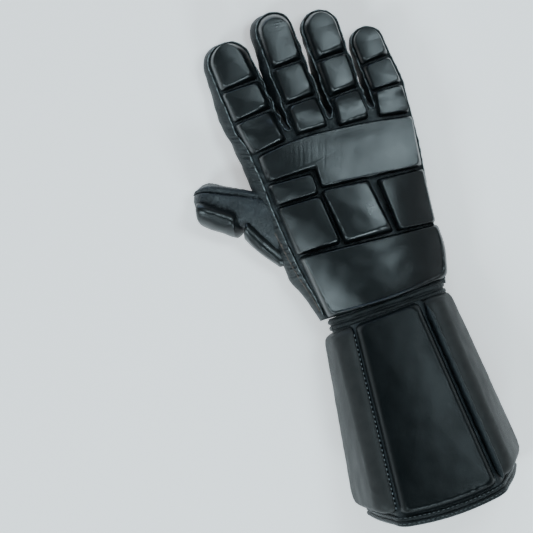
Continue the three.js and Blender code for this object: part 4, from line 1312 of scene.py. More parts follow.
@dataclass
class HandBlocks:
    """The foam blocks on the back of the hand: the L over the knuckles, four behind it and the wrist's."""

    high: float = 9.5

    def make(self) -> None:
        """Builds the six blocks. Corners: near thumb side, near little finger side, and back."""
        plans = {
            "hand_pad_short": (((-51.4, 84.8), (-20.8, 84.5), (-21.2, 99.6), (-52.6, 100.4)),
                               ((-48.0, 86.4), (-21.9, 87.2), (-22.4, 97.9), (-49.6, 98.9))),
            "hand_pad_radial": (((-47.4, 49.3), (-16.4, 48.6), (-20.0, 83.3), (-51.4, 83.6)),
                                ((-44.0, 50.9), (-18.3, 52.8), (-21.9, 81.9), (-48.4, 82.3))),
            "hand_pad_middle": (((-14.6, 47.4), (19.4, 45.9), (13.4, 84.2), (-19.0, 86.4)),
                                ((-11.6, 51.8), (16.6, 51.9), (11.0, 82.7), (-17.4, 84.9))),
            "hand_pad_ulnar": (((22.6, 45.6), (48.6, 43.8), (51.0, 81.0), (18.2, 82.8)),
                               ((24.6, 47.3), (47.0, 45.0), (49.4, 79.6), (21.4, 81.0))),
        }
        tilts = {"hand_pad_ulnar": (-0.12, 0.02), "hand_pad_middle": (0.09, 0.0)}
        for number, (node, (foot, top)) in enumerate(plans.items()):
            FoamBlock(node.replace("pad", "block"), node, np.array(foot), np.array(top), over_hand, self.high,
                      relief=self.tilted(np.array(top).mean(axis=0), *tilts.get(node, (0.0, 0.0))),
                      seed=60 + number).make()
        self.make_knuckles()
        self.make_wrist()

    @staticmethod
    def tilted(middle: Array, slope_x: float, slope_y: float) -> Callable[[Array, Array], Array]:
        """A relief that turns a block's top about its middle by two slopes."""
        return lambda flat, tau: tau * ((flat - middle) @ np.array([slope_x, slope_y]))

    def make_knuckles(self) -> None:
        """The L over the knuckles: creased in its thumb side half, a flat slope in the other."""
        foot = np.array([
            (-52.0, 101.6), (-19.0, 101.2), (-18.6, 87.6), (50.8, 82.2), (54.0, 117.2), (27.0, 121.3),
            (6.0, 123.0), (-14.0, 124.7), (-34.0, 123.8), (-53.4, 120.6),
        ])
        top = np.array([
            (-47.9, 102.6), (-16.6, 105.2), (-16.4, 90.2), (48.9, 84.2), (53.0, 115.9), (27.0, 119.8),
            (6.0, 121.4), (-14.0, 122.9), (-34.0, 122.0), (-48.9, 119.3),
        ])
        radii = (np.array([2.6, 1.2, 2.6, 3, 3, 9, 9, 9, 9, 3]),
                 np.array([3.4, 1.6, 3.6, 4, 3.4, 9, 9, 9, 8, 3.4]))

        def folds(flat: Array, tau: Array) -> Array:
            """Shallow creases, deepest near x = -16 and the far edge, and a slope from there on.

            The slope is 1.2 (1 - e^(-r/8)) - 0.226 r + 0.00345 r^2, with r = x + 22 where that is positive,
            softened.

            Args:
                flat: Points of the block's plan.
                tau: Shares of the way up its wall, 1 on its top.

            Returns:
                What is added to its height.
            """
            x, y = flat[..., 0], flat[..., 1]
            rng = np.random.default_rng(5)
            count = 15
            middles = np.linspace(-40.0, 4.0, count) + rng.uniform(-1.2, 1.2, count)
            low = rng.uniform(92.0, 112.0, count)
            depth = 0.16 * rng.uniform(0.5, 1.0, count) * bell(middles + 17.0, 17.0)
            below = 122.0 - y[..., None]
            across = x[..., None] + 0.004 * below**2 + 0.22 * below - middles
            fade = smoothstep(y[..., None], low, low + 8.0)
            right = 0.5 * (x + 22.0 + np.sqrt((x + 22.0) ** 2 + 64.0))
            slope = 1.2 * (1.0 - np.exp(-right / 8.0)) - 0.226 * right + 0.00345 * right**2
            return (slope - (depth * bell(across, 0.8) * fade).sum(axis=-1)) * tau

        FoamBlock("knuckle_block", "knuckle_pad", foot, top, over_hand, self.high, crown=0.4, radii=radii,
                  side_points=34, top_rings=70, relief=folds, seed=70, middle=np.array([2.0, 109.4])).make()

    def make_wrist(self) -> None:
        """The wide block at the wrist, which falls towards the wrist."""
        foot = np.array([(-39.4, 3.4), (3.0, 2.8), (45.6, 6.6), (50.4, 27.0), (49.4, 42.6), (2.0, 45.4),
                         (-46.6, 48.2)])
        top = np.array([(-35.6, 6.4), (3.0, 5.8), (43.4, 10.2), (47.4, 28.0), (47.6, 41.0), (1.0, 43.7),
                        (-43.6, 46.6)])
        radii = (np.array([3, 14, 5, 7, 3, 14, 3]), np.array([3.6, 14, 6, 7, 3.6, 14, 3.4]))

        def roll(flat: Array, tau: Array) -> Array:
            """The top falls by deep (1.3 t - 0.3 t^2) with t from 0 at its far edge to 1 at the wrist.

            The thumb's side is also flatter than the hand's arch below it, by 0.0034 x^2.

            Args:
                flat: Points of the block's plan.
                tau: Shares of the way up its wall, 1 on its top.

            Returns:
                What is added to its height.
            """
            x, y = flat[..., 0], flat[..., 1]
            flatter = 0.0034 * np.minimum(x + 2.0, 0.0) ** 2
            deep = np.interp(x, [-44.0, 0.0, 46.0], [6.2, 6.6, 6.4])
            t = np.clip((46.0 - y) / 42.0, 0.0, 1.0)
            return tau * (flatter - deep * (1.3 * t - 0.3 * t**2))

        FoamBlock("wrist_block", "wrist_pad", foot, top, over_hand, self.high, crown=0.4, radii=radii,
                  side_points=40, top_rings=50, relief=roll, seed=71).make()


# The hand's leather


@dataclass
class HandShell:
    """The leather of the hand: back, palm with its opening, side walls, raw-edged seams and lining.

    A wall has levels points from the palm to the back. The lining lies lining_inset inside the back's
    edges over lining_span of its length.
    """

    levels: int = 24
    lining: float = 1.2
    lining_inset: float = 3.2
    lining_span: Pair = (6.0, 121.0)
    opening: tuple = ((-43, 102), (-30, 109), (-12, 114), (3, 113), (15, 100), (21, 79), (21, 56), (20, 33),
                      (12, 20), (1, 20), (-8, 43), (-19, 64), (-36, 87))

    def make(self) -> None:
        """Builds every piece of the hand's leather."""
        self.make_back()
        self.make_walls()
        self.make_palm()
        self.make_opening_edge()
        self.make_lining()
        self.make_seams()

    def make_back(self) -> None:
        """The back panel, seen in the channels between the blocks."""
        surface = BACK.surface()
        flat = surface.points[:, :2]
        surface.points[:, 2] += 0.25 * waves(flat, (9.0, 9.0), 21) - 0.35 * creases(flat, (7.0, 16.0), 22)
        wall = surface.thickened(-LEATHER * UPWARD)
        Piece("back_leather", wall, Finish.BACK, "back_leather", ("back_panel",)).make()

    def opening_line(self, count: int = 260) -> Array:
        """The opening in the palm as a smooth closed line."""
        return rounded_polygon(np.array(self.opening, dtype=float), np.full(len(self.opening), 9.0), count)

    def make_palm(self) -> None:
        """The palm panel, wrinkled, with the opening left out. Its cut edge lies in the rolled binding."""
        surface = PALM.surface()
        flat = surface.points[:, :2]
        line = self.opening_line()
        inside = depth_inside(flat, line)
        folds = creases(flat, (16.0, 11.0), 31, 0.25) + 0.7 * creases(flat, (7.0, 6.0), 32, 0.3)
        folds = 0.55 * folds + 0.2 * np.abs(waves(flat, (5.0, 5.0), 33))
        surface.points[:, 2] += folds * smoothstep(-inside, 3.0, 6.0) + 1.6 * smoothstep(inside, -4.2, -1.6)
        cut = surface.without(inside > -1.0)
        wall = cut.thickened((LEATHER - 0.3) * UPWARD)
        Piece("palm_panel", wall, Finish.PALM, "palm_leather", ("palm_leather",)).make()

    def make_opening_edge(self) -> None:
        """The rolled leather edge round the opening, 3 mm wide."""
        line = self.opening_line(320)
        out = left_normals(line, closed=True)
        path = np.column_stack([line + 1.5 * out, palm_height(line[:, 0], line[:, 1]) + 2.0])
        swell = 1.0 + 0.08 * waves(arc_length(path)[:, None], (6.0,), 41)
        edge = swept(path, in_space(out), oval(1.75, 1.65, 14)[None] * swell[:, None, None], True)
        Piece("palm_opening_edge", edge, Finish.BINDING, "binding_leather",
              ("palm_opening_binding",)).make()

    def make_lining(self) -> None:
        """The cloth inside the back, a thin sheet under the back panel."""
        y = np.linspace(*self.lining_span, 60)[:, None]
        radial, ulnar = hand_row(y, "back_radial"), hand_row(y, "back_ulnar")
        x = mix(radial + self.lining_inset, ulnar - self.lining_inset, np.linspace(0.0, 1.0, 44))
        y = y + 0.0 * x
        z = back_height(x, y) - LEATHER - GAP
        sheet = grid_surface(np.stack([x, y, z], axis=-1)).thickened(-self.lining * UPWARD)
        Piece("lining", sheet, Finish.CLOTH, "lining_cloth", ("back_lining",)).make()

    def make_walls(self) -> None:
        """The side walls of the hand and fingers.

        A wall's point goes straight from the palm's outline to the back's as its level goes from 0 to 1,
        and stands out of that line by bulge 4 level (1 - level). Fine pleats lie across the radial wall
        where it turns under the back's seam.
        """
        back, place = BACK.outline(250, 120)
        palm, _ = PALM.outline(250, 120)
        out = left_normals(mix(palm, back, 0.5)[:, :2], smooth=3)
        bulges = [(0.0, 6.0), (0.127, 8.9), (0.26, 12.4), (0.32, 11.6), (0.5, 10.2), (0.8, 10.8),
                  (0.93, 10.3), (1.0, 9.6)]
        for index, finger in enumerate(FINGERS):
            after = SIDE_BULGE["ulnar" if index == 3 else "crotch"]
            sizes = {1.3: finger.radial_bulge, 1.8: finger.near_tip_bulge, 2.0: SIDE_BULGE["tip"], 2.2: 1.0,
                     2.7: finger.ulnar_bulge, 3.0: after}
            bulges += [(first + 2 * index, size) for first, size in sizes.items()]
        bulges.append((10.0, SIDE_BULGE["ulnar"]))
        bulge = np.interp(place, *zip(*bulges))
        level = np.linspace(0.0, 1.0, self.levels)[None]
        along = arc_length(back)[:, None]
        swell = bulge[:, None] * 4 * level * (1 - level)
        spot = np.stack(np.broadcast_arrays(along, 14.0 * level), axis=-1)
        pucker = 0.16 * waves(spot, (14.0, 9.0), 52) * level * (1 - level) * 4
        pleats = 0.36 * waves(spot, (2.2, 80.0), 51) * bell(level - 0.9, 0.09) * (place < 1.3)[:, None]
        pleats *= 0.5 + 0.5 * smoothstep(waves(along, (11.0,), 53)[:, None], -0.8, 0.8)
        grid = mix(palm[:, None], back[:, None], level[..., None])
        side = in_space(out)[:, None]
        outer = grid + side * (swell + pucker)[..., None]
        outer[..., 2] += pleats
        inner = grid + side * (swell - LEATHER)[..., None]
        shrink = np.minimum(1.0, np.linspace(0.0, 1.0, self.levels) * 6)[None, :, None]
        inner[..., 2:] = mix(inner[..., 2:] + 1.0, inner[..., 2:], shrink)
        pieces = {
            "radial_wall": "radial_side_strip",
            "wall_index_middle": "fourchette_index_middle",
            "wall_middle_ring": "fourchette_middle_ring",
            "wall_ring_little": "fourchette_ring_little",
            "ulnar_wall": "ulnar_side_strip",
        }
        self.make_wall_seam(outer, place)
        for number, (name, node) in enumerate(pieces.items()):
            kept = (place >= 2 * number - 1e-6) & (place <= 2 * number + 2 + 1e-6)
            rings = with_ends(np.concatenate([outer[kept], inner[kept][:, ::-1]], axis=1))
            surface = grid_surface(rings, wrap_columns=True).welded(1e-4)
            Piece(name, surface, Finish.SIDE, "back_leather", (node,)).make()

    def make_wall_seam(self, outer: Array, place: Array) -> None:
        """The raw edge along the middle of the radial wall, where the thumb's leather meets it.

        Args:
            outer: The walls' outer points, along and then up.
            place: Each row's place in the back's outline.
        """
        kept = (place > 0.04) & (place < 0.6)
        rise = np.interp(place[kept], [0.04, 0.127, 0.225, 0.327, 0.444, 0.6],
                         [0.94, 0.93, 0.92, 0.90, 0.857, 0.81]) * (self.levels - 1)
        low = rise.astype(int)
        rows = np.nonzero(kept)[0]
        path = averaged(mix(outer[rows, low], outer[rows, low + 1], (rise - low)[:, None]), 9)
        side = in_space(left_normals(path[:, :2], smooth=6))
        along = arc_length(path)[:, None]
        swell = 1.0 + 0.15 * waves(along, (5.0,), 65)
        profile = np.array([(-0.7, -0.7), (0.35, -0.7), (0.45, 0.25), (0.0, 0.5), (-0.7, 0.3)])
        surface = swept(path, side, profile[None] * swell[:, None, None], False)
        marks = {"cut": np.ones(len(surface.points))}
        Piece("radial_wall_seam", surface, Finish.TAN_EDGE, "back_leather", marks=marks, sharp=70.0).make()

    def make_seams(self) -> None:
        """The raw leather edges that stand out of the seam round the back panel, wavy, and paler on top:
        partly the cut edge's own colour, partly a painted highlight.
        """
        back, place = BACK.outline(180, 110)
        keep = (place > 0.02) & (place < 9.98)
        path = back[keep]
        out = left_normals(path[:, :2], smooth=4)
        along = arc_length(path)[:, None]
        where = place[keep]
        beside_gap = smoothstep(where, 2.2, 2.5) * (1 - smoothstep(where, 7.5, 7.8))
        beside_gap *= smoothstep(np.abs((where + 1) % 2 - 1), 0.3, 0.6)
        wander = 0.32 * waves(along, (17.0,), 61) + 0.1 * waves(along, (8.0,), 62)
        wander = np.minimum(wander * mix(0.25, 1.0, beside_gap), 0.9)
        path = path + in_space(out * (wander[:, None] + 0.1))
        side = in_space(out)
        tall = 1.0 + 0.18 * waves(along, (7.0,), 63)
        profile = np.array([(-0.4, -1.4), (0.4, -1.4), (0.42, 0.6), (0.3, 1.1), (0.0, 1.25), (-0.3, 1.1),
                            (-0.42, 0.6)])
        surface = swept(path, side, taller(profile, tall), False, unit(UPWARD + 0.35 * side))
        rise = surface.points[:, 2] - self.nearest_height(surface.points, path)
        # The cut mark, 1 on the ribbon's top, carries the pale colour there: partly raw edge, partly painted
        # highlight.
        marks = {"cut": np.clip((rise - 0.6) / 0.5, 0.0, 1.0)}
        Piece("back_seam_edge", surface, Finish.RAW_EDGE, "back_leather", marks=marks, sharp=70.0).make()

    @staticmethod
    def nearest_height(points: Array, path: Array) -> Array:
        """Height of the path's nearest point below each point.

        Args:
            points: The points.
            path: Points of the path.

        Returns:
            The heights.
        """
        heights = np.empty(len(points))
        for part in np.array_split(np.arange(len(points)), 16):
            gap = np.linalg.norm(points[part, None, :2] - path[None, :, :2], axis=-1)
            heights[part] = path[gap.argmin(axis=1), 2]
        return heights


# The thumb


@dataclass
class Thumb:
    """The thumb: a wrinkled leather tube with a round tip and two foam blocks on its back.

    A row of rows is a section of the tube: x, y, z of its middle, half its width and half its height.
    Creases and seam are drawn as if the rows were step apart and the tube's radius were girth.
    """

    step: float = 14.0
    girth: float = 11.0
    rows: Array = field(default_factory=lambda: np.array([
        (-42.5, 53.0, 11.5, 13.0, 9.5), (-56, 72.0, 11.5, 13.0, 10.0), (-66, 84.0, 12.0, 11.5, 10.5),
        (-77.5, 93.5, 12.0, 12.0, 10.5), (-91.3, 102.0, 12.0, 11.5, 10.5)]))

    def point(self, along: Array, angle: Array, h: Array) -> Array:
        """A point of the thumb's surface.

        Args:
            along: Place in the rows, and one further over the round tip.
            angle: Turn round the thumb, 0 to its far side and a quarter turn on top.
            h: Distance outside the leather.

        Returns:
            The points.
        """
        along, angle, h = np.broadcast_arrays(along, angle, h)
        last = len(self.rows) - 1
        place = np.clip(along, 0.0, last)
        steps = np.arange(last + 1)
        x, y, z, wide, high = (np.interp(place, steps, self.rows[:, k]) for k in range(5))
        tangents = unit(np.gradient(self.rows[:, :3], axis=0))
        forward = unit(np.stack([np.interp(place, steps, tangents[:, k]) for k in range(3)], axis=-1))
        side = unit(np.stack([forward[..., 1], -forward[..., 0], 0.0 * x], axis=-1))
        tip = math.radians(90) * np.clip(along - last, 0.0, 1.0)
        across = (wide + h) * np.cos(angle) * np.cos(tip)
        up = (high + h) * np.sin(angle) * np.cos(tip)
        middle = np.stack([x, y, z + up], axis=-1)
        return middle + side * across[..., None] + forward * ((wide + h) * np.sin(tip))[..., None]

    def make(self) -> None:
        """Builds the shell, with its folds, its swell at the hand and its seam, and the two blocks."""
        along = np.concatenate([np.linspace(0.25, 4.0, 90), np.linspace(4.0, 5.0, 26)[1:]])[:, None]
        angle = np.linspace(0.0, 2 * math.pi, 180, endpoint=False)[None]
        spot = np.stack(np.broadcast_arrays(self.step * along, self.girth * np.cos(angle),
                                            self.girth * np.sin(angle)), axis=-1)
        h = -0.14 * creases(spot, (4.0, 14.0, 14.0), 81, 0.3) + 0.1 * waves(spot, (12.0, 9.0, 9.0), 82)
        h += 4.6 * bell(along - 1.6, 1.1) * np.maximum(np.cos(angle - 0.35), 0.0) ** 2
        pleats = smoothstep(waves(spot, (9.0, 9.0, 9.0), 84), -1.0, 1.0)
        h += 0.16 * waves(spot, (2.2, 30.0, 30.0), 83) * pleats
        seam = np.radians(np.interp(along, range(6), [14.0, 22.0, 34.0, 50.0, 62.0, 70.0]))
        from_seam = (angle - seam) * self.girth
        h += -2.0 * bell(from_seam, 0.7)
        h += 1.1 * bell(from_seam + 3.2, 2.4)
        inner = self.point(np.minimum(along, 4.9), angle, np.full_like(h, -LEATHER))
        rings = np.concatenate([self.point(along, angle, h), inner[::-1]])
        surface = grid_surface(rings, wrap_rows=True, wrap_columns=True).welded()
        Piece("thumb_leather", surface, Finish.THUMB, "palm_leather", ("thumb_shell",)).make()
        self.make_block("base", ((0.08, 200), (1.84, 200), (2.25, 124), (0.08, 146)),
                        (4.0, 2.2, 3.6, 3.0), (5.0, 5.0, 4.0, 5.0), 5.6, 91)
        self.make_block("tip", ((1.98, 201), (4.1, 199), (4.5, 104), (2.8, 110)),
                        (4.0, 3.6, 4.4, 1.8), (3.0, 11.0, 6.0, 3.0), 7.0, 92)

    def make_block(self, kind: str, plan: tuple, insets: tuple, radii: tuple, high: float, seed: int) -> None:
        """Builds a block over four places (along, angle in degrees) of the thumb's surface.

        Args:
            kind: Which block.
            plan: The four places.
            insets: How far each side of the top lies inside the foot's.
            radii: How far from each corner its rounding starts.
            high: The block's height.
            seed: Which noise.
        """
        pitch = float(np.linalg.norm(np.diff(self.rows[:, :3], axis=0), axis=1).mean())
        radius = self.girth + 0.5 + high / 2
        corners = np.array([(a * pitch, -math.radians(t) * radius) for a, t in plan])

        def over(a: Array, b: Array, h: Array) -> Array:
            """The point h above the thumb's leather at a mm along it and b mm round it."""
            return self.point(a / pitch, -b / radius, h)

        FoamBlock(f"thumb_{kind}_block", f"thumb_{kind}_pad", corners, moved_in(corners, insets), over, high,
                  crown=0.9, radii=(np.array(radii), 0.8 * np.array(radii)), seed=seed).make()


# Wrist and gauntlet


@dataclass
class Wrist:
    """The two piped ridges round the wrist, on the curve |x|^p + |z|^p = 1."""

    x: float = 0.5
    z: float = 23.2
    half_x: float = 41.1
    half_z: float = 17.4
    power: float = 2.3

    def make(self) -> None:
        """Builds both ridges, each with fine pleats across it."""
        self.ridge("hand", 1.2, (-2.5, 2.4), 101)
        self.ridge("gauntlet", -3.0, (-3.4, 2.0), 102)

    def ridge(self, kind: str, y: float, flange: Pair, seed: int) -> None:
        """Builds one ridge: a round piping on a flat flange, carried round the wrist and waved by pleats.

        Args:
            kind: What it borders on.
            y: The piping's middle along the arm.
            flange: How far the flange reaches from there, towards the forearm and towards the hand.
            seed: Which noise.
        """
        circle = oval(1.0, 1.0, 400, self.power)
        line = resample(np.concatenate([circle, circle[:1]]), 521)[:-1]
        line = line * np.array([self.half_x - 1.0, self.half_z - 1.0])
        out = -left_normals(line, closed=True)
        path = np.stack([self.x + line[:, 0], np.full(len(line), y), self.z + line[:, 1]], axis=1)
        side = np.tile((0.0, 1.0, 0.0), (len(path), 1))
        up = np.stack([out[:, 0], np.zeros(len(line)), out[:, 1]], axis=1)
        along = arc_length(path)[:, None]
        pleat = 1.0 + 0.05 * waves(along, (2.4,), seed) + 0.03 * waves(along, (15.0,), seed + 5)
        turn = np.linspace(-0.25, math.pi + 0.25, 15)
        piping = np.stack([1.45 * np.cos(turn), 0.1 + 0.85 * np.sin(turn)], axis=1)
        low, high = flange
        profile = np.concatenate([[(low, -1.7), (high, -1.7), (high, -0.1), (1.7, -0.35)], piping,
                                  [(-1.7, -0.35), (low, -0.1)]])
        path[:, 1] += 0.12 * waves(along, (30.0,), seed + 9) + 0.3 + 0.03 * path[:, 0]
        surface = swept(path, side, taller(profile, pleat), True, up)
        Piece(f"wrist_ridge_{kind}", surface, Finish.BINDING, "binding_leather", (f"wrist_binding_{kind}",),
              sharp=60.0).make()


class Side(Enum):
    """The gauntlet's panels, in order round the forearm."""

    PALM = 0
    RADIAL = 1
    BACK = 2
    ULNAR = 3
    UNDERLAP = 4


@dataclass(frozen=True)
class LongBlock:
    """One of the gauntlet's foam blocks, over four places (u, v) of a panel.

    insets is how far each side of its top lies inside the foot's: at the wrist, at the larger u, at
    the hem and at the smaller u.
    """

    side: Side
    plan: tuple
    insets: tuple[float, ...]
    finish: Finish = Finish.CENTRE
    high: float = 8.5
    crown: float = 1.2


# The radial and ulnar blocks take CUFF, whose lighter grey is a painted reflection of the pale surround.
LONG_BLOCKS = (
    LongBlock(Side.PALM, ((0.13, 0.01), (0.93, 0.01), (0.95, 0.93), (0.13, 0.93)), (2.4, 4.4, 4.0, 4.4),
              high=8.8 - 2 * GAP, crown=0.0),
    LongBlock(Side.RADIAL, ((0.06, 0.005), (0.95, 0.005), (0.96, 0.94), (0.05, 0.93)), (3.0, 11.0, 6.0, 5.0),
              Finish.CUFF, high=9.9, crown=0.3),
    LongBlock(Side.BACK, ((0.02, 0.005), (0.955, 0.0), (0.965, 0.94), (0.02, 0.94)), (2.4, 4.4, 4.6, 5.0)),
    LongBlock(Side.ULNAR, ((0.06, 0.0), (0.93, 0.0), (0.93, 0.93), (0.04, 0.94)), (3.0, 5.0, 6.0, 11.0),
              Finish.CUFF, crown=0.3),
)


@dataclass
class Gauntlet:
    """The flared gauntlet: a leather wrap, four foam blocks, the hem's binding and the closing flap.

    A row of edges is a corner of its section: x and z at the wrist, x and z at the hem, and the hem's
    y. rounding is each corner's, crowns each panel's. The flap and its tape lie between two heights.
    """

    start: float = -5.4
    hem_width: float = 7.0
    hem_bow: float = 4.0
    flap: tuple = ((12.5, -13), (19.0, -121.5), (38.5, -121.5), (29.0, -13))
    flap_faces: Pair = (6.15, 8.5)
    tape: tuple = ((25.5, -114), (36.0, -114), (31.0, -30), (20.5, -30))
    tape_faces: Pair = (8.8, 9.7)
    edges: Array = field(default_factory=lambda: np.array([
        (14, 8.8, 21, 8.8, -136), (-37.5, 8.8, -53, 8.8, -130.5), (-25, 41, -33.5, 70, -141),
        (23, 40, 38.5, 67, -139.5), (38, 10, 53.5, 10, -128), (19, 10, 26, 10, -134)], dtype=float))
    rounding: tuple = (0, 8, 7, 7, 8, 0)
    crowns: tuple = (0, 1.5, 2.5, 1.5, 0)

    def corner(self, index: int, v: Array) -> Array:
        """The section's corner at v, from 0 at the wrist to 1 at the hem, as x, y, z."""
        wrist_x, wrist_z, hem_x, hem_z, hem_y = self.edges[index]
        return np.stack([mix(wrist_x, hem_x, v), mix(self.start, hem_y, v), mix(wrist_z, hem_z, v)], axis=-1)

    def normal(self, panel: int, v: Array) -> Array:
        """A panel's outward direction, across the arm."""
        line = self.corner(panel + 1, v) - self.corner(panel, v)
        return unit(np.stack([-line[..., 2], 0.0 * line[..., 1], line[..., 0]], axis=-1))

    def over(self, panel: int, u: Array, v: Array, h: Array) -> Array:
        """A point over a panel.

        Args:
            panel: Which panel.
            u: Share of the way across it.
            v: Share of the way along it.
            h: Height over the leather.

        Returns:
            The point, of shape (..., 3).
        """
        a, b = self.corner(panel, v), self.corner(panel + 1, v)
        lift = h + self.crowns[panel] * 4 * u * (1 - u)
        return self.bowed(mix(a, b, u[..., None]) + self.normal(panel, v) * lift[..., None], v)

    def bowed(self, point: Array, v: Array) -> Array:
        """Bows the back's end by hem_bow v (1 - ((x - 2.5) / 40)^2) and turns the wrist's by 1.5 + 0.05 x.

        Args:
            point: Points of shape (..., 3).
            v: Their shares of the way along the gauntlet.

        Returns:
            The moved points.
        """
        x, z = point[..., 0], point[..., 2]
        bow = np.clip(1.0 - ((x - 2.5) / 40.0) ** 2, 0.0, 1.0) * smoothstep(z, 22.0, 50.0)
        move = (1.5 + 0.05 * x) * (1.0 - v) - self.hem_bow * bow * v
        return point + np.array([0.0, 1.0, 0.0]) * move[..., None]

    def section(self, v: Array, grow: Array, points: int = 22) -> Array:
        """The wall's outer line round the arm at each v, moved out by grow.

        A corner is the parabola between two points on its sides, a panel a straight line with its crown.

        Args:
            v: Places from the wrist to the hem, of shape (rows,).
            grow: How far the line moves out, of shape (rows,).
            points: Points on each panel.

        Returns:
            Points of shape (rows, around, 3).
        """
        parts = []
        v2 = v[:, None]
        for panel in range(5):
            a, b = self.corner(panel, v2), self.corner(panel + 1, v2)
            size = np.linalg.norm(b - a, axis=-1, keepdims=True)
            low, high = self.rounding[panel] / size, 1 - self.rounding[panel + 1] / size
            w = np.linspace(0.0, 1.0, points)[None, :, None]
            u = mix(low, high, w)
            crown = self.crowns[panel] * (4 * w * (1 - w)) ** 1.2
            parts.append(mix(a, b, u) + self.normal(panel, v2) * crown)
            if panel < 4:
                c = self.corner(panel + 2, v2)
                radius = self.rounding[panel + 1]
                before = mix(b, a, radius / size)
                after = mix(b, c, radius / np.linalg.norm(c - b, axis=-1, keepdims=True))
                t = np.linspace(0.0, 1.0, 12)[None, 1:-1, None]
                parts.append((1 - t) ** 2 * before + 2 * t * (1 - t) * b + t**2 * after)
        line = self.bowed(np.concatenate(parts, axis=1), v2)
        tangent = np.gradient(line, axis=1)
        out = unit(np.stack([-tangent[..., 2], 0.0 * tangent[..., 0], tangent[..., 0]], axis=-1), 1e-9)
        return line + out * grow[:, None, None]

    def hem_share(self, width: float) -> float:
        """The v at which the last width mm before the hem begin."""
        return 1.0 - width / (self.start - self.edges[2, 4])

    def make(self) -> None:
        """Builds the gauntlet's pieces."""
        self.make_shell()
        for block in LONG_BLOCKS:
            self.make_block(block)
        self.make_hem()
        self.make_flap()
        self.make_valleys()

    def make_shell(self) -> None:
        """The leather wrap, open along the palm side under the flap. Its end lies in the hem's binding."""
        v = np.linspace(0.0, self.hem_share(self.hem_width - 1.0), 70)
        outer = self.section(v, np.zeros_like(v))
        relief = 0.15 * waves(outer, (18.0, 18.0, 18.0), 111) - 0.25 * creases(outer, (10.0, 22.0, 10.0), 112)
        inner = self.section(v, np.full_like(v, -LEATHER))
        outer[..., 2] += np.clip(relief, -0.5, 0.5) * (outer[..., 2] > 20.0)
        surface = self.closed_wall(outer, inner)
        Piece("gauntlet_leather", surface, Finish.BACK, "back_leather", ("gauntlet_shell",)).make()

    @staticmethod
    def closed_wall(outer: Array, inner: Array) -> Surface:
        """A closed wall between two grids of points with the same shape."""
        return grid_surface(outer).thickened((inner - outer).reshape(-1, 3))

    def make_block(self, block: LongBlock) -> None:
        """Builds one long block.

        Args:
            block: Its plan.
        """
        panel = block.side.value
        length = abs(self.start - self.edges[panel:panel + 2, 4].mean())

        def wide(v: Array) -> Array:
            """The panel's width at v."""
            return np.linalg.norm(self.corner(panel + 1, v) - self.corner(panel, v), axis=-1)

        def place(a: Array, b: Array, h: Array) -> Array:
            """The point h over the panel at a mm across it and b mm along it."""
            v = b / length
            return self.over(panel, a / wide(v) + 0.5, v, h)

        foot = np.array([((u - 0.5) * float(wide(np.array(v))), v * length) for u, v in block.plan])
        is_centre = block.finish is Finish.CENTRE
        radii = np.array([5.0] * 4 if is_centre else [6.0, 6.0, 9.0, 9.0])
        slot = "gauntlet_centre_leather" if is_centre else "gauntlet_side_leather"
        side = block.side.name.lower()
        FoamBlock(f"gauntlet_{side}_block", f"gauntlet_pad_{side}", foot, moved_in(foot, block.insets), place,
                  block.high, crown=block.crown, radii=(radii, radii), finish=block.finish, slot=slot,
                  side_points=60, top_rings=40, seed=120 + panel).make()

    def make_hem(self) -> None:
        """The hem's binding: a folded strip over the edge with a groove along its middle."""
        share = self.hem_share(self.hem_width)
        t = np.linspace(0.0, 1.0, 30)
        v = mix(share, 1.0, t)
        bulge = 1.5 * np.sqrt(np.maximum(1 - (2 * t - 1) ** 4, 0.0)) - 0.9 * bell(t - 0.47, 0.07)
        wall = self.closed_wall(self.section(v, bulge), self.section(v, -LEATHER - np.maximum(bulge, 0.0)))
        Piece("hem_edge", wall, Finish.BINDING, "binding_leather", ("hem_binding",)).make()

    def make_valleys(self) -> None:
        """The folded ridge in the valley between the back and the ulnar block."""
        v = np.linspace(0.03, 0.93, 240)
        path = self.over(Side.ULNAR.value, np.full_like(v, 0.005), v, np.full_like(v, 2.2))
        up = unit(self.normal(Side.BACK.value, v) + self.normal(Side.ULNAR.value, v))
        side = np.cross(unit(np.gradient(path, axis=0)), up)
        along = arc_length(path)[:, None]
        taper = np.minimum(1.0, np.minimum(along, along[-1] - along) / 8.0) ** 0.5
        swell = taper * (1.0 + 0.05 * waves(along, (13.0,), 131)[:, None])
        fold = swept(path, side, oval(2.0, 2.6, 14)[None] * swell[:, :, None], False, up)
        Piece("valley_fold", fold, Finish.BACK, "back_leather").make()

    def make_flap(self) -> None:
        """The closing flap with its bound edge and the tape strip under it."""
        line = rounded_polygon(np.array(self.flap), np.array([0.5, 0.5, 9.0, 9.0]), 300)
        self.slab("closing_flap", line, self.flap_faces, Finish.PALM, "back_leather", "closure_flap", 0.25)
        self.make_flap_edge(line)
        tape = rounded_polygon(np.array(self.tape), np.full(4, 1.5), 120)
        self.slab("hook_tape", tape, self.tape_faces, Finish.HOOK, "hook_and_loop", "hook_and_loop_strip",
                  0.0)

    @staticmethod
    def slab(name: str, line: Array, faces: Pair, finish: Finish, slot: str, node: str,
             wrinkle: float) -> None:
        """A flat piece over an outline, its lower face wrinkled.

        Args:
            name: The piece's name.
            line: Its outline.
            faces: The heights of its lower and upper face.
            finish: Its finish.
            slot: The record's material slot.
            node: The node that it stands for.
            wrinkle: Depth of its wrinkles.
        """
        low, high = faces
        middle = line.mean(axis=0)
        rho = np.linspace(0.0, 1.0, 40)[:, None, None]
        flat = middle + rho * (line[None] - middle)
        folds = wrinkle * (creases(flat, (9.0, 13.0), 141) + 0.5 * waves(flat, (14.0, 14.0), 142))
        under = np.concatenate([flat, (low + folds * (1 - rho[..., 0] ** 6))[..., None]], axis=-1)
        over = np.concatenate([flat, np.full(flat.shape[:2] + (1,), high)], axis=-1)
        surface = grid_surface(np.concatenate([under, over[::-1]]), wrap_columns=True).welded()
        Piece(name, surface, finish, slot, (node,)).make()

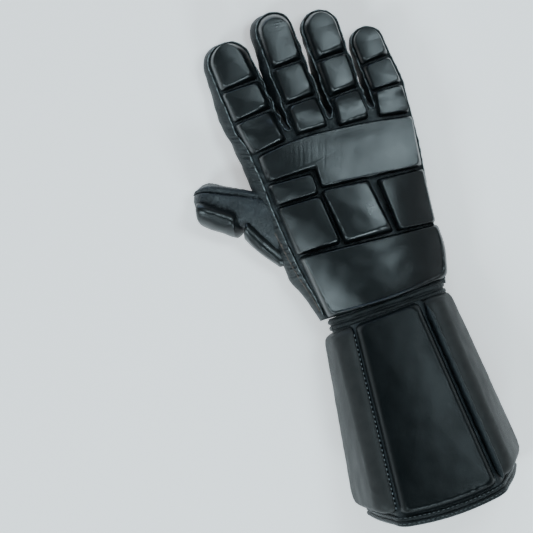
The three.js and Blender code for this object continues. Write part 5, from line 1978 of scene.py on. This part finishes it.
    @staticmethod
    def make_flap_edge(line: Array) -> None:
        """The binding round the flap's three free sides, 6 mm wide and softly rounded.

        Args:
            line: The flap's outline.
        """
        out = -left_normals(line, closed=True)
        keep = line[:, 0] > np.interp(line[:, 1], [-121.5, -13.0], [19.3, 12.8])
        start = int(np.argmax(keep & ~np.roll(keep, 1)))
        order = np.roll(np.arange(len(line)), -start)
        order = order[keep[order]]
        path = in_space(line[order] + 3.4 * out[order]) + 7.05 * UPWARD
        swell = 1.0 + 0.06 * waves(arc_length(path)[:, None], (7.0,), 151)
        edge = swept(path, in_space(out[order]), taller(oval(3.1, 1.4, 18, 3.0), swell), False)
        Piece("flap_edge", edge, Finish.BINDING, "binding_leather", ("flap_binding",)).make()


# Stitches


@dataclass
class Stitches:
    """A row of stitches: short fat threads laid along a line, a gap between each two.

    Each is a mesh of rings points along the line and around points round it.
    """

    name: str
    path: Array
    up: Array
    pitch: float = 3.0
    length: float = 2.1
    radius: float = 0.32
    finish: Finish = Finish.THREAD
    rings: int = 7
    around: int = 6

    def make(self) -> None:
        """Lays the row: each stitch is an oval drawn out along the line, its ends sunk."""
        along = arc_length(self.path)
        count = int(along[-1] / self.pitch)
        middle = (np.arange(count) + 0.5) * self.pitch
        steps = np.linspace(-0.5, 0.5, self.rings)
        places = middle[:, None] + steps * self.length
        centre, up = (np.stack([np.interp(places, along, line[:, k]) for k in range(3)], axis=-1)
                      for line in (self.path, self.up))
        up = unit(up)
        side = np.cross(unit(np.gradient(centre, axis=1)), up)
        swell = self.radius * np.sqrt(np.maximum(1 - (2 * steps) ** 2, 0.0))
        angle = np.linspace(0.0, 2 * math.pi, self.around, endpoint=False)[:, None]
        ring = side[:, :, None] * np.cos(angle) + up[:, :, None] * np.sin(angle)
        sunk = up * (self.radius * 0.4 - 0.5 * (2 * steps[:, None]) ** 4 * self.radius)
        points = (centre + sunk)[:, :, None] + ring * swell[:, None, None]
        template = grid_surface(np.zeros((self.rings, self.around, 3)), wrap_columns=True).faces
        first = np.arange(count) * self.rings * self.around
        faces = (template + first[:, None, None]).reshape(-1, 4)
        surface = Surface(points.reshape(-1, 3), faces).welded(1e-4)
        Piece(self.name, surface, self.finish, "binding_leather", sharp=80.0).make()


def stitch_gauntlet(gauntlet: Gauntlet) -> None:
    """Lays the gauntlet's rows: in the radial valley and round the hem.

    Args:
        gauntlet: The gauntlet.
    """
    v = np.linspace(0.04, 0.93, 200)
    path = gauntlet.over(Side.BACK.value, np.full_like(v, -0.012), v, np.full_like(v, 0.5))
    up = gauntlet.normal(Side.BACK.value, v) + gauntlet.normal(Side.RADIAL.value, v)
    # The valley row takes the lighter thread, a painted highlight on stitches that lie in the valley's shade.
    Stitches("valley_stitches", path, up, 3.3, 1.7, 0.42, Finish.PALE_THREAD).make()
    for name, width in (("hem_stitches_upper", 6.0), ("hem_stitches_lower", 2.0)):
        share = np.array([gauntlet.hem_share(width)])
        base, line = (gauntlet.section(share, np.array([lift]))[0] for lift in (0.0, 1.45))
        even = resample(np.concatenate([line, line - base], axis=1), 400)
        Stitches(name, even[:, :3], even[:, 3:], 3.2, 2.2, 0.3).make()


# Stage


@dataclass
class Stage:
    """Camera, lights and floor, in the frame's metres.

    The camera looks straight down from distance above plane, where frame_width fills the picture. The
    fingertips lean to its left by lean degrees.
    """

    middle: Pair = (-0.0460, 0.0152)
    frame_width: float = 0.356
    plane: float = 0.028
    distance: float = 2.6
    lean: float = 17.0
    floor_half: float = 6.0
    floor_drop: float = 0.0002
    floor_glow: float = 0.55

    def make_camera(self) -> None:
        """Makes the camera and sets it."""
        data = bpy.data.cameras.new("camera")
        data.sensor_width = 36.0
        data.lens = data.sensor_width * self.distance / self.frame_width
        data.clip_end = 20.0
        camera = bpy.data.objects.new("camera", data)
        camera.location = (*self.middle, self.plane + self.distance)
        camera.rotation_euler = (0.0, 0.0, -math.radians(self.lean))
        bpy.context.scene.collection.objects.link(camera)
        bpy.context.scene.camera = camera

    def make_floor(self) -> None:
        """Makes the pale floor, a little below the glove."""
        sheet = MaterialSheet("floor")
        cloud = sheet.noise(sheet.coordinates(), 400.0, 2.0)
        sheet.tint(cloud, "Fac", (0.90, 0.90, 0.90), (0.93, 0.93, 0.93))
        pale = sheet.finished(Roughness=0.9, Emission_Color=(1.0, 1.0, 1.0, 1.0),
                              Emission_Strength=self.floor_glow)
        mesh = bpy.data.meshes.new("floor")
        half = self.floor_half
        corners = [(-half, -half, 0.0), (half, -half, 0.0), (half, half, 0.0), (-half, half, 0.0)]
        mesh.from_pydata(corners, [], [(0, 1, 2, 3)])
        mesh.materials.append(pale)
        floor = bpy.data.objects.new("floor", mesh)
        floor.location = (0.0, 0.0, -self.floor_drop)
        bpy.context.scene.collection.objects.link(floor)

    def make_lights(self) -> None:
        """Five softboxes and a pale surround.

        Each is given by the y that it faces, its angle from straight up, its direction on the floor, its
        distance and size in metres, its power and its colour. The key and the one beyond the fingertips
        light the tops that lean their way, and the others draw lines along the blocks' edges.
        """
        cool = (0.74, 0.93, 1.0)
        aims = (
            ("key_box", 0.06, 27.0, 18.0, 1.0, (0.36, 0.30), 5.3, cool),
            ("far_box", 0.06, 23.0, 80.0, 0.9, (0.25, 0.14), 1.0, cool),
            ("left_box", 0.0, 50.0, 204.0, 1.8, (0.6, 0.6), 19.0, cool),
            ("near_strip", 0.0, 66.0, 270.0, 1.7, (0.7, 0.25), 22.0, cool),
            ("blue_strip", 0.0, 80.0, 100.0, 1.7, (1.4, 0.35), 9.0, (0.5, 0.72, 1.0)),
        )
        for name, y, off_zenith, azimuth, distance, size, power, color in aims:
            centre = np.array([0.0, y, 0.03])
            tilt, turn = math.radians(off_zenith), math.radians(azimuth)
            aim = np.array([math.sin(tilt) * math.cos(turn), math.sin(tilt) * math.sin(turn), math.cos(tilt)])
            self.softbox(name, centre + distance * aim, centre, size, power, color)
        world = bpy.data.worlds.new("surround")
        bpy.context.scene.world = world
        world.use_nodes = True
        background = world.node_tree.nodes["Background"]
        background.inputs["Color"].default_value = (0.92, 0.97, 1.0, 1.0)
        sheet = NodeSheet(world.node_tree)
        split = sheet.add("ShaderNodeSeparateXYZ")
        sheet.link(sheet.add("ShaderNodeTexCoord"), "Generated", split, "Vector")
        sheet.link(sheet.ranged(split, "Z", 0.1, 0.9, 0.42, 0.04), "Result", background, "Strength")

    @staticmethod
    def softbox(name: str, place: Array, target: Array, size: Pair, power: float,
                color: Triple) -> None:
        """Adds one area light that faces a target.

        Args:
            name: Its name.
            place: Its middle, in metres.
            target: What it faces.
            size: Its width and height in metres.
            power: Its power in watts.
            color: Its colour.
        """
        data = bpy.data.lights.new(name, "AREA")
        data.shape = "RECTANGLE"
        data.size, data.size_y = size
        data.energy = power
        data.color = color
        light = bpy.data.objects.new(name, data)
        light.location = tuple(place)
        light.rotation_euler = Vector(target - place).to_track_quat("-Z", "Y").to_euler()
        bpy.context.scene.collection.objects.link(light)


def main() -> None:
    """Builds the glove and its stage in order."""
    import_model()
    stage = Stage()
    stage.make_camera()
    stage.make_floor()
    stage.make_lights()
    FingerBlocks().make()
    HandBlocks().make()
    HandShell().make()
    Thumb().make()
    Wrist().make()
    gauntlet = Gauntlet()
    gauntlet.make()
    stitch_gauntlet(gauntlet)


if __name__ == "__main__":
    logging.basicConfig(level=logging.INFO, format="%(name)s: %(message)s")
    main()
